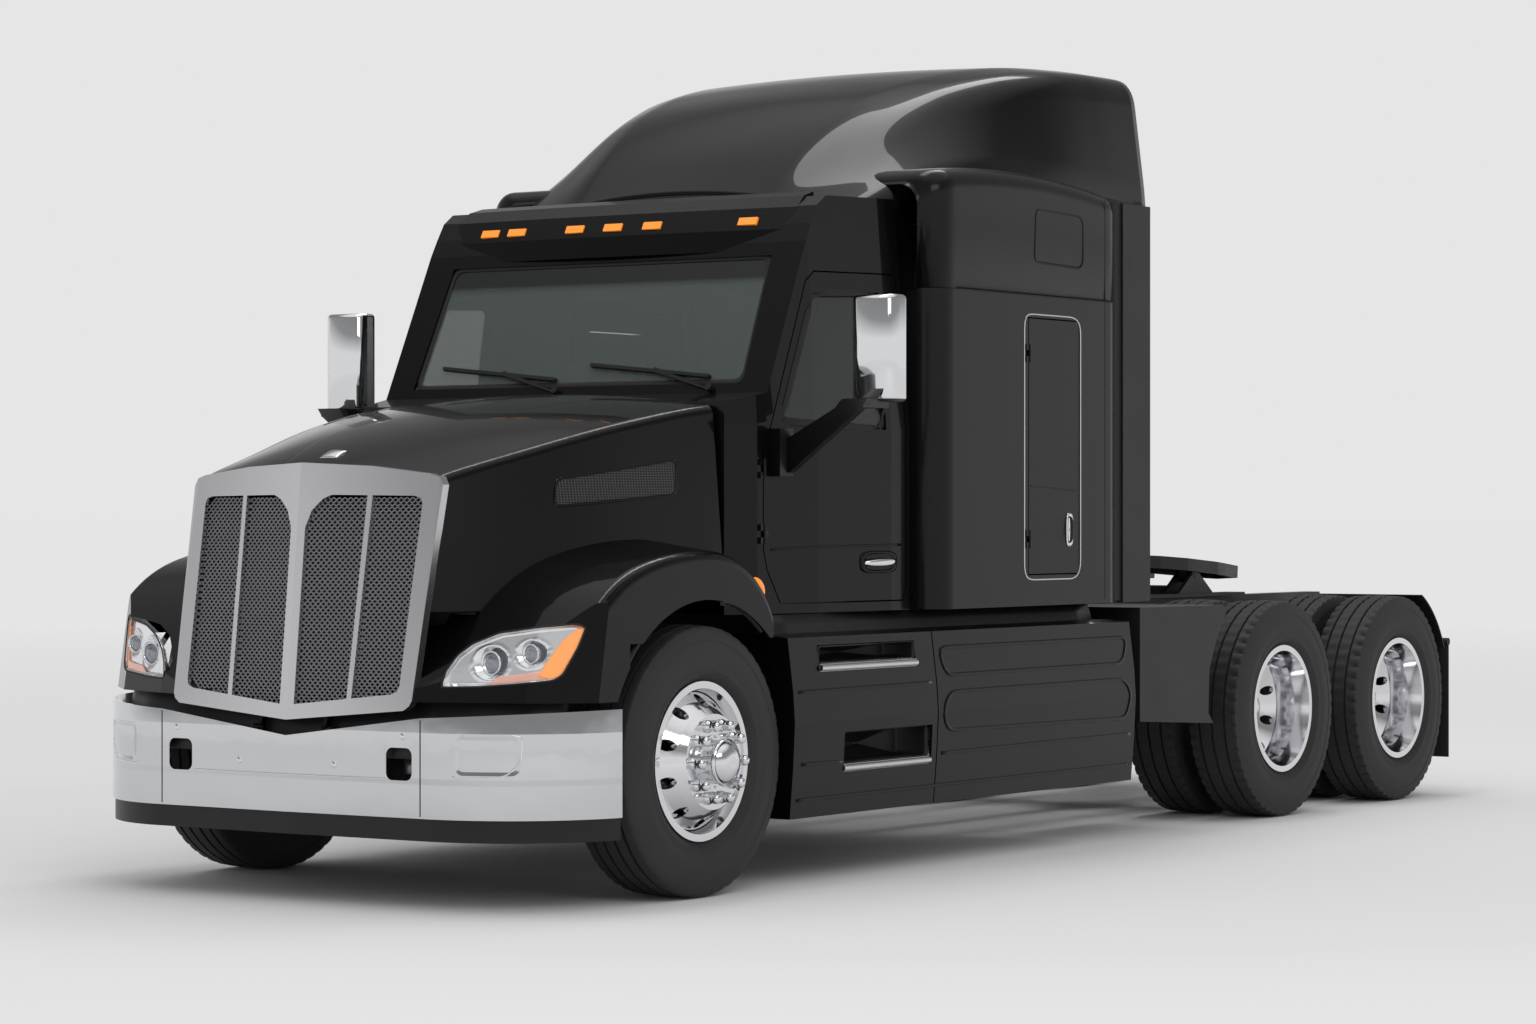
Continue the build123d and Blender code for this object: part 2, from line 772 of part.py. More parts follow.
visor_lamp_xs = (-670, -520, -201, 0, 201, 670)
visor_lamp_size = (92, 16, 34)
visor_lamp_z = 2655
visor_lamp_y = 1011
with BuildPart() as marker_lights:
    for x in visor_lamp_xs:
        with Locations((x, aft(visor_lamp_y) + x * x / (2 * bow_radius), visor_lamp_z)):
            Box(*visor_lamp_size, rotation=(-28, 0, 0))
    add(sun_visor.part, mode=Mode.SUBTRACT)
save(marker_lights.part, "marker_lights")

for side_name, side in (("left", 1), ("right", -1)):
    with BuildPart() as door:
        panel = cab_walls & side_prism(door_outline, low=940)
        add(mirror(panel, about=Plane.YZ) if side < 0 else panel)
        hole = side_prism(window_outline, low=900)
        add(mirror(hole, about=Plane.YZ) if side < 0 else hole, mode=Mode.SUBTRACT)
        moving_hinges(door_hinge_x, door_hinge_y, door_hinge_zs, side)
    save(door.part, f"door_{side_name}")

    with BuildPart() as door_glass:
        pane = glass_sheet & side_prism(window_outline, grow=-seat_gap, low=900)
        add(mirror(pane, about=Plane.YZ) if side < 0 else pane)
    save(door_glass.part, f"door_glass_{side_name}")

    with BuildPart() as mirror_head:
        block((side * 1262, aft(880), 1905), (side * 1480, aft(990), 2330))
        fillet(mirror_head.edges().filter_by(Axis.Z), 40)
        fillet(mirror_head.edges().filter_by(Plane.XY), 18)
        with BuildSketch(front_plane(aft(mirror_arm_y))) as arm_view:
            with BuildLine():
                Polyline(*[(side * x, z) for x, z in mirror_arm], close=True)
            make_face()
        extrude(arm_view.sketch, amount=mirror_arm_depth, dir=(0, 1, 0))
        block((side * 1300, aft(mirror_arm_y), 1880), (side * 1400, aft(960), 1915))
        block((side * 960, aft(720), 1610), (side * 1040, aft(815), 1800))
        add(cab_volume(-seat_gap), mode=Mode.SUBTRACT)
    save(mirror_head.part, f"mirror_{side_name}")

# ============================================================
# Sleeper and roof
# ============================================================
sleeper_front_y = 1662
sleeper_back_y = 3210
sleeper_half_width = 1200
sleeper_bottom = 1062
sleeper_top = 2400
sleeper_front_radius = 110


def sleeper_volume(inset):
    """The sleeper's lower box, or what is left of it inside its walls. The top stays open to the roof."""
    with BuildPart(mode=Mode.PRIVATE) as volume:
        length = sleeper_back_y - sleeper_front_y - 2 * inset
        floor = sleeper_bottom + inset
        with BuildSketch(Plane.XY.offset(floor)) as plan:
            with Locations((0, aft((sleeper_front_y + sleeper_back_y) / 2))):
                RectangleRounded(2 * (sleeper_half_width - inset), length, sleeper_front_radius - inset)
        extrude(plan.sketch, amount=sleeper_top - sleeper_bottom + (1 if inset else 0))
    return volume.part


luggage_hinge_x = sleeper_half_width + door_eye_radius + 0.5
luggage_hinge_y = aft(2387)
luggage_hinge_zs = (1350, 2150)
luggage_outline = [(aft(2390), 1200), (aft(2390), 2300), (aft(2820), 2300), (aft(2820), 1200)]
with BuildPart() as sleeper_box:
    add(sleeper_volume(0))
    add(sleeper_volume(sleeper_wall), mode=Mode.SUBTRACT)
sleeper_walls = sleeper_box.part
with BuildPart() as sleeper_shell:
    add(sleeper_walls)
    for flip in (False, True):
        opening = side_prism(luggage_outline, grow=door_gap, low=1100)
        add(mirror(opening, about=Plane.YZ) if flip else opening, mode=Mode.SUBTRACT)
    with BuildSketch(front_plane(aft(cab_back_y))):
        with Locations((0, 1850)):
            RectangleRounded(1300, 1300, 120)
    extrude(amount=-300, mode=Mode.SUBTRACT)
    for side in (1, -1):
        fixed_hinges(luggage_hinge_x, luggage_hinge_y, luggage_hinge_zs, side)
        for y in (1800, 3050):
            pad = side * (frame_half_width - 10)
            block((pad, aft(y), rail_top + seat_gap), (pad - side * 70, aft(y + 90), sleeper_bottom + 5))
save(sleeper_shell.part, "sleeper_shell")

for side_name, side in (("left", 1), ("right", -1)):
    with BuildPart() as luggage_door:
        panel = sleeper_walls & side_prism(luggage_outline, low=1100)
        add(mirror(panel, about=Plane.YZ) if side < 0 else panel)
        moving_hinges(luggage_hinge_x, luggage_hinge_y, luggage_hinge_zs, side)
    save(luggage_door.part, f"luggage_door_{side_name}")

# The sleeper's cap above its seam, in the side view: its front edge rolls into a long arch
cap_front = [(1654, 2820), (1684, 2880), (1745, 2904)]
cap_arch = [(1745, 2904), (2400, 2934), (3210, 2872)]
cap_top = 2934
cap_corner = 90
# The dome over the cap: half its width and its height at the crest, the ridge, the shoulder and the foot
dome_sections = [
    {"y": 1400, "crest": 2822, "ridge": (480, 2790), "shoulder": (660, 2745), "foot": (900, 2690)},
    {"y": 1630, "crest": 3035, "ridge": (550, 2985), "shoulder": (740, 2885), "foot": (990, 2800)},
    {"y": 1950, "crest": 3240, "ridge": (600, 3200), "shoulder": (780, 3125), "foot": (1060, 2900)},
    {"y": 2250, "crest": 3350, "ridge": (640, 3322), "shoulder": (840, 3265), "foot": (1090, 2925)},
    {"y": 2550, "crest": 3422, "ridge": (700, 3400), "shoulder": (920, 3352), "foot": (1100, 2930)},
    {"y": 2850, "crest": 3468, "ridge": (780, 3448), "shoulder": (1000, 3400), "foot": (1105, 2925)},
    {"y": 3220, "crest": 3488, "ridge": (830, 3470), "shoulder": (1030, 3425), "foot": (1105, 2905)},
    {"y": 3600, "crest": 3492, "ridge": (850, 3476), "shoulder": (1035, 3430), "foot": (1105, 2880)},
]
dome_low_z = 2640


def dome_face(section, inset):
    """One cross-section of the dome, from its foot over the shoulder, the ridge and the crest."""
    foot, shoulder, ridge = [
        (section[key][0] - inset, section[key][1] - inset) for key in ("foot", "shoulder", "ridge")
    ]
    with BuildSketch(front_plane(aft(section["y"]))) as face:
        with BuildLine():
            Polyline((-ridge[0], ridge[1]), (-shoulder[0], shoulder[1]), (-foot[0], foot[1]), (-foot[0], dome_low_z))
            Line((-foot[0], dome_low_z), (foot[0], dome_low_z))
            Polyline((foot[0], dome_low_z), foot, shoulder, ridge)
            ThreePointArc(ridge, (0, section["crest"] - inset), (-ridge[0], ridge[1]))
        make_face()
    return face.sketch


def dome_volume(inset):
    """The dome's outer volume, or the space inside its skin."""
    with BuildPart(mode=Mode.PRIVATE) as volume:
        loft([dome_face(section, inset) for section in dome_sections])
    return volume.part


def cap_volume(inset):
    """The sleeper above its seam, or the space inside its skin."""
    length = sleeper_back_y - sleeper_front_y - 2 * inset
    half = sleeper_half_width - inset
    low = sleeper_top - (1 if inset else 0)
    front = [(aft(y) + inset, z - inset) for y, z in cap_front]
    arch = [(aft(y), z - inset) for y, z in cap_arch]
    arch[0] = front[-1]
    with BuildPart(mode=Mode.PRIVATE) as volume:
        with BuildSketch(Plane.XY.offset(low)) as plan:
            with Locations((0, aft((sleeper_front_y + sleeper_back_y) / 2))):
                RectangleRounded(2 * half, length, sleeper_front_radius - inset)
        extrude(plan.sketch, amount=700)
        with BuildSketch(side_plane(0)) as side_view:
            with BuildLine():
                Line((front[0][0], low), front[0])
                ThreePointArc(*front)
                ThreePointArc(*arch)
                Line(arch[-1], (arch[-1][0], low))
                Line((arch[-1][0], low), (front[0][0], low))
            make_face()
        extrude(side_view.sketch, amount=1400, both=True, mode=Mode.INTERSECT)
        with BuildSketch(front_plane(aft(1500))) as front_view:
            with BuildLine():
                edge = cap_top - inset
                turn = cap_corner * 0.29
                Line((-half, low), (-half, edge - cap_corner))
                ThreePointArc((-half, edge - cap_corner), (turn - half, edge - turn), (cap_corner - half, edge))
                Line((cap_corner - half, edge), (half - cap_corner, edge))
                ThreePointArc((half - cap_corner, edge), (half - turn, edge - turn), (half, edge - cap_corner))
                Line((half, edge - cap_corner), (half, low))
                Line((half, low), (-half, low))
            make_face()
        extrude(front_view.sketch, amount=2000, dir=(0, 1, 0), mode=Mode.INTERSECT)
    return volume.part


roof_bulkhead_y = 3190
with BuildPart() as bulkhead_slab:
    block((-1500, aft(roof_bulkhead_y), dome_low_z), (1500, aft(roof_bulkhead_y + 20), 3600))
with BuildPart() as ahead_of_sleeper:
    block((-2000, aft(0), 2000), (2000, aft(sleeper_front_y + sleeper_wall), 4000))
with BuildPart() as under_tail:
    block((-2000, aft(sleeper_back_y + 1), 2000), (2000, aft(4500), 2860))
dome_space = dome_volume(roof_wall) - ahead_of_sleeper.part
roof_space = cap_volume(sleeper_wall) + dome_space
# The bulkhead closes the sleeper; behind it the skin runs on as a fairing.
roof_skin = cap_volume(0) + dome_volume(0) - roof_space
roof_bulkhead = dome_volume(roof_wall / 3) & bulkhead_slab.part
with BuildPart() as roof_fairing:
    add(roof_skin - cab_volume(-panel_gap) + roof_bulkhead - under_tail.part)
save(roof_fairing.part, "roof_fairing")

with BuildPart() as side_extenders:
    block((1165, aft(sleeper_back_y + panel_gap), 1063), (1200, aft(3470), 2848))
    for bracket_z in (1200, 1700, 2200):
        block((1040, aft(sleeper_back_y + seat_gap), bracket_z), (1170, aft(sleeper_back_y + 40), bracket_z + 60))
    mirror(about=Plane.YZ)
save(side_extenders.part, "side_extenders")

# ============================================================
# Hood: its sections are listed nose to cowl as half widths and heights
# ============================================================
hood_sections = [
    {"y": -960, "foot": 570, "top_half": 575, "edge": 1560, "crest": 1600},
    {"y": -850, "foot": 640, "top_half": 607, "edge": 1608, "crest": 1655},
    {"y": -640, "foot": 715, "top_half": 650, "edge": 1664, "crest": 1740},
    {"y": -350, "foot": 800, "top_half": 720, "edge": 1735, "crest": 1825},
    {"y": 0, "foot": 875, "top_half": 800, "edge": 1815, "crest": 1893},
    {"y": 270, "foot": 920, "top_half": 850, "edge": 1865, "crest": 1928},
    {"y": 470, "foot": 950, "top_half": 890, "edge": 1893, "crest": 1945},
]
hood_foot_z = 1100
hood_corner = 42
fender_outer_x = 1200
fender_inner_x = 560
fender_rear_y = 440
fender_bottom = 770
fender_crest_radius = 45
arch_radius = 635
arch_centre_z = 500
# The fender's top: its height along the bonnet's side and along its outer crease
fender_rows = [
    {"y": -1060, "ridge": 765, "crease": 690},
    {"y": -950, "ridge": 885, "crease": 815},
    {"y": -780, "ridge": 1068, "crease": 1010},
    {"y": -560, "ridge": 1245, "crease": 1203},
    {"y": -300, "ridge": 1348, "crease": 1292},
    {"y": -50, "ridge": 1395, "crease": 1318},
    {"y": 150, "ridge": 1400, "crease": 1302},
    {"y": 320, "ridge": 1362, "crease": 1225},
    {"y": fender_rear_y, "ridge": 1310, "crease": 1100},
]
nose_low_z = 600
nose_high_z = 1700
# The nose's plan, with its distance from the front axle at the low and at the high level
nose_plan_rows = [
    {"x": 0, "low": -1047, "high": -945},
    {"x": 600, "low": -1044, "high": -845},
    {"x": 700, "low": -1010, "high": -820},
    {"x": 1000, "low": -900, "high": -700},
    {"x": 1205, "low": -720, "high": -520},
    {"x": 1400, "low": -600, "high": -400},
]
nose_ahead = -1600


def hood_face(section, inset):
    """One cross-section of the bonnet over the engine."""
    foot = section["foot"] - inset
    top = section["top_half"] - inset
    edge = section["edge"] - inset
    crest = section["crest"] - inset
    corner = hood_corner
    turn = corner * 0.29
    with BuildSketch(front_plane(aft(section["y"]))) as face:
        with BuildLine():
            Line((-foot, hood_foot_z - inset), (-top, edge - corner))
            ThreePointArc((-top, edge - corner), (turn - top, edge - turn), (corner - top, edge))
            ThreePointArc((corner - top, edge), (0, crest), (top - corner, edge))
            ThreePointArc((top - corner, edge), (top - turn, edge - turn), (top, edge - corner))
            Line((top, edge - corner), (foot, hood_foot_z - inset))
            Line((foot, hood_foot_z - inset), (-foot, hood_foot_z - inset))
        make_face()
    return face.sketch


def fender_face(x, key, inset):
    """A fender's side profile under its ridge or its crease, at one distance from the centre."""
    crest = [(aft(row["y"]), row[key] - inset) for row in fender_rows]
    with BuildSketch(side_plane(x)) as face:
        with BuildLine():
            Spline(*crest)
            Polyline(
                crest[-1],
                (crest[-1][0], fender_bottom + inset),
                (crest[0][0], fender_bottom - 200),
                crest[0],
            )
        make_face()
    return face.sketch


def fender_volume(inset):
    """Both front fenders, or the space inside their skin."""
    outer_x = fender_outer_x - inset
    faces = [
        fender_face(fender_inner_x + inset, "ridge", inset),
        fender_face(outer_x, "crease", inset),
    ]
    with BuildPart(mode=Mode.PRIVATE) as volume:
        loft(faces, ruled=True)
        outer_edges = volume.edges().filter_by_position(Axis.X, outer_x - 1, outer_x + 1)
        if not inset:
            fillet(outer_edges.sort_by(Axis.Z)[-1], fender_crest_radius)
        block((0, aft(-1400), 300), (1400, aft(fender_rear_y + 1), fender_bottom + inset), mode=Mode.SUBTRACT)
        mirror(about=Plane.YZ)
    return volume.part


def nose_cut(shift):
    """Everything ahead of the nose surface, moved back by the given distance."""
    with BuildPart(mode=Mode.PRIVATE) as volume:
        faces = []
        for level, key in ((nose_low_z, "low"), (nose_high_z, "high")):
            points = [(row["x"], aft(row[key] + shift)) for row in nose_plan_rows]
            mirrored = [(-x, y) for x, y in reversed(points[1:])]
            with BuildSketch(Plane.XY.offset(level)) as plan:
                with BuildLine():
                    Polyline(
                        *mirrored,
                        *points,
                        (points[-1][0], aft(nose_ahead)),
                        (-points[-1][0], aft(nose_ahead)),
                        close=True,
                    )
                make_face()
            faces.append(plan.sketch)
        loft(faces, ruled=True)
    return volume.part


def front_prism(points, grow=0):
    """A prism through the nose, from its front outline grown evenly by the given amount."""
    with BuildPart(mode=Mode.PRIVATE) as prism:
        with BuildSketch(front_plane(aft(-1300))) as front_view:
            with BuildLine():
                Polyline(*points, close=True)
            make_face()
            if grow:
                offset(amount=grow, kind=Kind.INTERSECTION, mode=Mode.REPLACE)
        extrude(front_view.sketch, amount=700, dir=(0, 1, 0))
    return prism.part


def hood_volume(inset):
    """The bonnet and both fenders, or the space inside their skin, behind the nose surface."""
    with BuildPart(mode=Mode.PRIVATE) as volume:
        loft([hood_face(section, inset) for section in hood_sections])
        add(fender_volume(inset))
        add(nose_cut(inset), mode=Mode.SUBTRACT)
    return volume.part


def plan_swap(points):
    """Moves side-view points from distances behind the front axle to the vehicle's frame."""
    return [(aft(y), z) for y, z in points]


grille_outline = [
    (0, 1655),
    (-300, 1641),
    (-560, 1611),
    (-602, 1598),
    (-617, 1570),
    (-590, 775),
    (-580, 755),
    (-556, 738),
    (0, 690),
    (556, 738),
    (580, 755),
    (590, 775),
    (617, 1570),
    (602, 1598),
    (560, 1611),
    (300, 1641),
]
grille_opening = [
    (0, 1535),
    (-500, 1529),
    (-530, 1522),
    (-540, 1500),
    (-526, 830),
    (-518, 808),
    (-490, 796),
    (0, 745),
    (490, 796),
    (518, 808),
    (526, 830),
    (540, 1500),
    (530, 1522),
    (500, 1529),
]
grille_gusset = [(-170, 1545), (-105, 1518), (-60, 1475), (-35, 1410), (35, 1410), (60, 1475), (105, 1518), (170, 1545)]
grille_side_bar = [(300, 1545), (322, 1545), (306, 750), (284, 750)]
headlight_outline = [
    (687, 825),
    (702, 889),
    (736, 944),
    (787, 987),
    (880, 1027),
    (1017, 1048),
    (1120, 1059),
    (1143, 1046),
    (1127, 973),
    (1093, 873),
    (1068, 852),
    (972, 841),
    (831, 829),
]
grille_proud = 11
grille_depth = 25
grille_bar = 70
mesh_thickness = 4
mesh_back = 14
lamp_depth = 60

with BuildPart() as hood:
    add(hood_volume(0))
    add(hood_volume(hood_wall), mode=Mode.SUBTRACT)
    add(front_prism(grille_outline, grow=seat_gap) & nose_cut(grille_depth + seat_gap), mode=Mode.SUBTRACT)
    for flip in (False, True):
        opening = front_prism(headlight_outline, grow=seat_gap)
        add(mirror(opening, about=Plane.YZ) if flip else opening, mode=Mode.SUBTRACT)
    with BuildSketch(side_plane(0)) as arch:
        with Locations((aft(0), arch_centre_z)):
            Circle(arch_radius)
    extrude(arch.sketch, amount=1400, both=True, mode=Mode.SUBTRACT)
    block((-1300, aft(-500), 400), (1300, aft(fender_rear_y + 1), arch_centre_z + 480), mode=Mode.SUBTRACT)
    block((-1150, aft(fender_rear_y - 40), 400), (1150, aft(fender_rear_y + 1), 1290), mode=Mode.SUBTRACT)
    block((-640, aft(0), 400), (640, aft(fender_rear_y + 1), hood_foot_z + 1), mode=Mode.SUBTRACT)
    # A cross tube behind the grille carries the two hinge brackets.
    block((-566, aft(-979), 775), (566, aft(-945), 815))
    for side in (1, -1):
        bracket = side * (hinge_ear_x - 30)
        with BuildSketch(side_plane(bracket)) as ear_view:
            with BuildLine():
                Polyline(
                    (hinge_y, hinge_z - hinge_eye_radius),
                    (hinge_y + 20, hinge_z - hinge_eye_radius),
                    (aft(-946), 776),
                    (aft(-978), 776),
                    (hinge_y, hinge_z + hinge_eye_radius),
                    close=True,
                )
            make_face()
            with Locations((hinge_y, hinge_z)):
                Circle(hinge_eye_radius)
        extrude(ear_view.sketch, amount=7, both=True)
        with BuildSketch(side_plane(bracket)) as pin_view:
            with Locations((hinge_y, hinge_z)):
                Circle(hinge_pin_radius + bearing_gap)
        extrude(pin_view.sketch, amount=30, both=True, mode=Mode.SUBTRACT)
save(hood.part, "hood")

with BuildPart() as grille_window:
    add(front_prism(grille_opening))
    block((-grille_bar / 2, aft(-1300), 600), (grille_bar / 2, aft(-600), 1700), mode=Mode.SUBTRACT)
    add(front_prism(grille_gusset), mode=Mode.SUBTRACT)
    side_bar = front_prism(grille_side_bar)
    add(side_bar, mode=Mode.SUBTRACT)
    add(mirror(side_bar, about=Plane.YZ), mode=Mode.SUBTRACT)

with BuildPart() as grille_surround:
    add(front_prism(grille_outline))
    add(nose_cut(-grille_proud), mode=Mode.SUBTRACT)
    add(grille_window.part, mode=Mode.SUBTRACT)
    add(nose_cut(grille_depth), mode=Mode.INTERSECT)
save(grille_surround.part, "grille_surround")

with BuildPart() as grille_mesh:
    add(front_prism(grille_opening, grow=-seat_gap))
    add(nose_cut(mesh_back), mode=Mode.SUBTRACT)
    add(nose_cut(mesh_back + mesh_thickness), mode=Mode.INTERSECT)
    add(grille_surround.part, mode=Mode.SUBTRACT)
save(grille_mesh.part, "grille_mesh")

with BuildPart() as headlights:
    add(front_prism(headlight_outline))
    add(nose_cut(0), mode=Mode.SUBTRACT)
    add(nose_cut(lamp_depth), mode=Mode.INTERSECT)
    add(fender_volume(0), mode=Mode.INTERSECT)
    mirror(about=Plane.YZ)
save(headlights.part, "headlights")

# ============================================================
# Chassis fairings, steps, tanks and fenders
# ============================================================
fairing_front_y = 560
fairing_back_y = 3300
fairing_top = 985
fairing_bottom = 262
fairing_inner_x = 1080
tank_radius = 300
tank_x = 780
tank_z = 610
tank_front_y = 1760
tank_length = 1330
fairing_section = [
    (fairing_inner_x, fairing_top),
    (1185, fairing_top - 12),
    (1212, 760),
    (1220, 640),
    (1212, 470),
    (1195, fairing_bottom),
    (fairing_inner_x, fairing_bottom),
]
step_outline_high = [(760, 835), (760, 940), (1480, 940), (1480, 835)]
step_outline_low = [(920, 430), (920, 590), (1580, 590), (1580, 430)]
step_seam_y = 1618

with BuildPart() as chassis_fairings:
    length = fairing_back_y - fairing_front_y
    with BuildSketch(front_plane(aft(fairing_front_y))) as section_view:
        with BuildLine():
            Polyline(*fairing_section, close=True)
        make_face()
    extrude(section_view.sketch, amount=length, dir=(0, 1, 0))
    with BuildSketch(front_plane(aft(fairing_front_y + skirt_wall))) as hollow_view:
        with BuildLine():
            Polyline(*fairing_section, close=True)
        make_face()
        offset(amount=-skirt_wall, mode=Mode.REPLACE)
    extrude(hollow_view.sketch, amount=length - 2 * skirt_wall, dir=(0, 1, 0), mode=Mode.SUBTRACT)
    block(
        (fairing_inner_x - 1, aft(fairing_front_y + 60), fairing_bottom - 10),
        (fairing_inner_x + skirt_wall + 1, aft(fairing_back_y - 60), fairing_top - 60),
        mode=Mode.SUBTRACT,
    )
    block((1180, aft(step_seam_y), 200), (1230, aft(step_seam_y + panel_gap), 1100), mode=Mode.SUBTRACT)
    for points in (step_outline_high, step_outline_low):
        with BuildSketch(side_plane(1100)) as recess:
            with BuildLine():
                Polyline(*plan_swap(points), close=True)
            make_face()
        extrude(recess.sketch, amount=200, dir=(1, 0, 0), mode=Mode.SUBTRACT)
    # Stays from the frame rail
    for y in (700, 1640, 3160):
        block((frame_half_width + seat_gap, aft(y), fairing_top - 60), (fairing_inner_x + 5, aft(y + 50), fairing_top - 5))
    mirror(about=Plane.YZ)
save(chassis_fairings.part, "chassis_fairings")

with BuildPart() as step_treads:
    for points in (step_outline_high, step_outline_low):
        y0, z0 = points[0]
        y1 = points[2][0]
        block((1000, aft(y0 + 2), z0 + seat_gap), (1204, aft(y1 - 2), z0 + 30))
    mirror(about=Plane.YZ)
save(step_treads.part, "step_treads")

with BuildPart() as fuel_tanks:
    with BuildSketch(front_plane(aft(tank_front_y))) as tank_view:
        with Locations((tank_x, tank_z)):
            Circle(tank_radius)
    extrude(tank_view.sketch, amount=tank_length, dir=(0, 1, 0))
    for y in (2000, 2800):
        block((frame_half_width + seat_gap, aft(y), 660), (tank_x - tank_radius + 60, aft(y + 60), 900))
    mirror(about=Plane.YZ)
save(fuel_tanks.part, "fuel_tanks")

quarter_panel = [
    (3375, 1035),
    (3375, 520),
    (4080, 482),
    (4030, 531),
    (4040, 735),
    (4110, 873),
    (4212, 1003),
    (4180, 1030),
]
quarter_inner_x = 620
rear_fender_radius = 572
rear_fender_wall = 6
flap_y = 6655
flap_wall = 10
flap_bottom = 190
flap_top = 775
flap_inner_x = 610
hanger_radius = 19

with BuildPart() as drive_fenders:
    with BuildSketch(side_plane(quarter_inner_x)) as panel_view:
        with BuildLine():
            Polyline(*plan_swap(quarter_panel), close=True)
        make_face()
    extrude(panel_view.sketch, amount=1200 - quarter_inner_x, dir=(1, 0, 0))
    with BuildSketch(side_plane(quarter_inner_x - 1)) as space_view:
        with BuildLine():
            Polyline(*plan_swap(quarter_panel), close=True)
        make_face()
        offset(amount=-8, mode=Mode.REPLACE)
    extrude(space_view.sketch, amount=1192 - quarter_inner_x, dir=(1, 0, 0), mode=Mode.SUBTRACT)
    block((frame_half_width + seat_gap, aft(3376), 960), (quarter_inner_x + 20, aft(3430), 1020))
    # The quarter fender behind the last axle follows the tyre.
    with BuildSketch(side_plane(quarter_inner_x)) as arc_view:
        with Locations((second_drive_y, tyre_radius)):
            Circle(rear_fender_radius + rear_fender_wall)
            Circle(rear_fender_radius, mode=Mode.SUBTRACT)
            Rectangle(2000, 2000, align=(Align.MAX, Align.CENTER), mode=Mode.SUBTRACT)
            Rectangle(2000, 2000, align=(Align.CENTER, Align.MAX), mode=Mode.SUBTRACT)
        with Locations((second_drive_y + 255, tyre_radius)):
            Rectangle(300, 1400, align=(Align.MAX, Align.CENTER), mode=Mode.SUBTRACT)
        with Locations((second_drive_y, tyre_radius + 240)):
            Rectangle(1400, 300, align=(Align.CENTER, Align.MAX), mode=Mode.SUBTRACT)
    extrude(arc_view.sketch, amount=1208 - quarter_inner_x, dir=(1, 0, 0))
    with BuildSketch(side_plane(frame_half_width + seat_gap)) as stay_view:
        with Locations((second_drive_y + 455, tyre_radius + 372)):
            Circle(16)
    extrude(stay_view.sketch, amount=1150 - frame_half_width, dir=(1, 0, 0))
    mirror(about=Plane.YZ)
save(drive_fenders.part, "drive_fenders")

with BuildPart() as mud_flaps:
    block((flap_inner_x, aft(flap_y), flap_bottom), (1210, aft(flap_y + flap_wall), flap_top))
    with BuildSketch(side_plane(frame_half_width + seat_gap)) as hanger_view:
        with Locations((aft(flap_y + flap_wall / 2), flap_top + hanger_radius - 4)):
            Circle(hanger_radius)
    extrude(hanger_view.sketch, amount=1210 - frame_half_width, dir=(1, 0, 0))
    mirror(about=Plane.YZ)
save(mud_flaps.part, "mud_flaps")

# ============================================================
# Fifth wheel: plan points are (X, Y from the kingpin jaw)
# ============================================================
jaw_y = 5340
plate_top_z = 1225
plate_tilt = 4
plate_wall = 18
plate_skirt = 62
plate_skirt_wall = 16
jaw_radius = 27
throat_mouth = 150
pivot_x = 385
pivot_y = 5340
pivot_z = 1152
pivot_radius = 25
pivot_eye_radius = 46
mount_plate_wall = 12
plate_half = [
    (0, -470),
    (250, -425),
    (400, -300),
    (455, -120),
    (455, 200),
    (380, 560),
    (190, 700),
    (throat_mouth, 640),
    (60, 180),
    (jaw_radius, 60),
]
plate_plane = Plane(
    origin=(0, aft(jaw_y), plate_top_z),
    x_dir=(1, 0, 0),
    z_dir=(0, sin(radians(plate_tilt)), cos(radians(plate_tilt))),
)


def plate_sketch(inset):
    """The plate's horseshoe outline, from the front edge round to the throat."""
    right = plate_half
    left = [(-x, y) for x, y in reversed(plate_half[1:])]
    with BuildSketch(plate_plane) as outline_view:
        with BuildLine():
            Polyline(*right, (jaw_radius, 0), (-jaw_radius, 0), *left, close=True)
        make_face()
        Circle(jaw_radius, mode=Mode.SUBTRACT)
        if inset:
            offset(amount=-inset, mode=Mode.REPLACE)
    return outline_view.sketch


plate_down = (0, -sin(radians(plate_tilt)), -cos(radians(plate_tilt)))
with BuildPart() as fifth_wheel_plate:
    extrude(plate_sketch(0), amount=plate_skirt, dir=plate_down)
    with BuildPart(mode=Mode.PRIVATE) as underside:
        extrude(plate_sketch(plate_skirt_wall), amount=plate_skirt + 10, dir=plate_down)
        extrude(plate_sketch(plate_skirt_wall - 1), amount=plate_wall, dir=plate_down, mode=Mode.SUBTRACT)
    add(underside.part, mode=Mode.SUBTRACT)
    for side in (1, -1):
        with BuildSketch(side_plane(side * pivot_x)) as eye_view:
            with Locations((aft(pivot_y), pivot_z)):
                Circle(pivot_eye_radius)
            with Locations((aft(pivot_y), pivot_z + 30)):
                Rectangle(2 * pivot_eye_radius, 60)
        extrude(eye_view.sketch, amount=22, both=True)
        with BuildSketch(side_plane(side * pivot_x)) as bore_view:
            with Locations((aft(pivot_y), pivot_z)):
                Circle(pivot_radius + bearing_gap)
        extrude(bore_view.sketch, amount=40, both=True, mode=Mode.SUBTRACT)
save(fifth_wheel_plate.part, "fifth_wheel_plate")

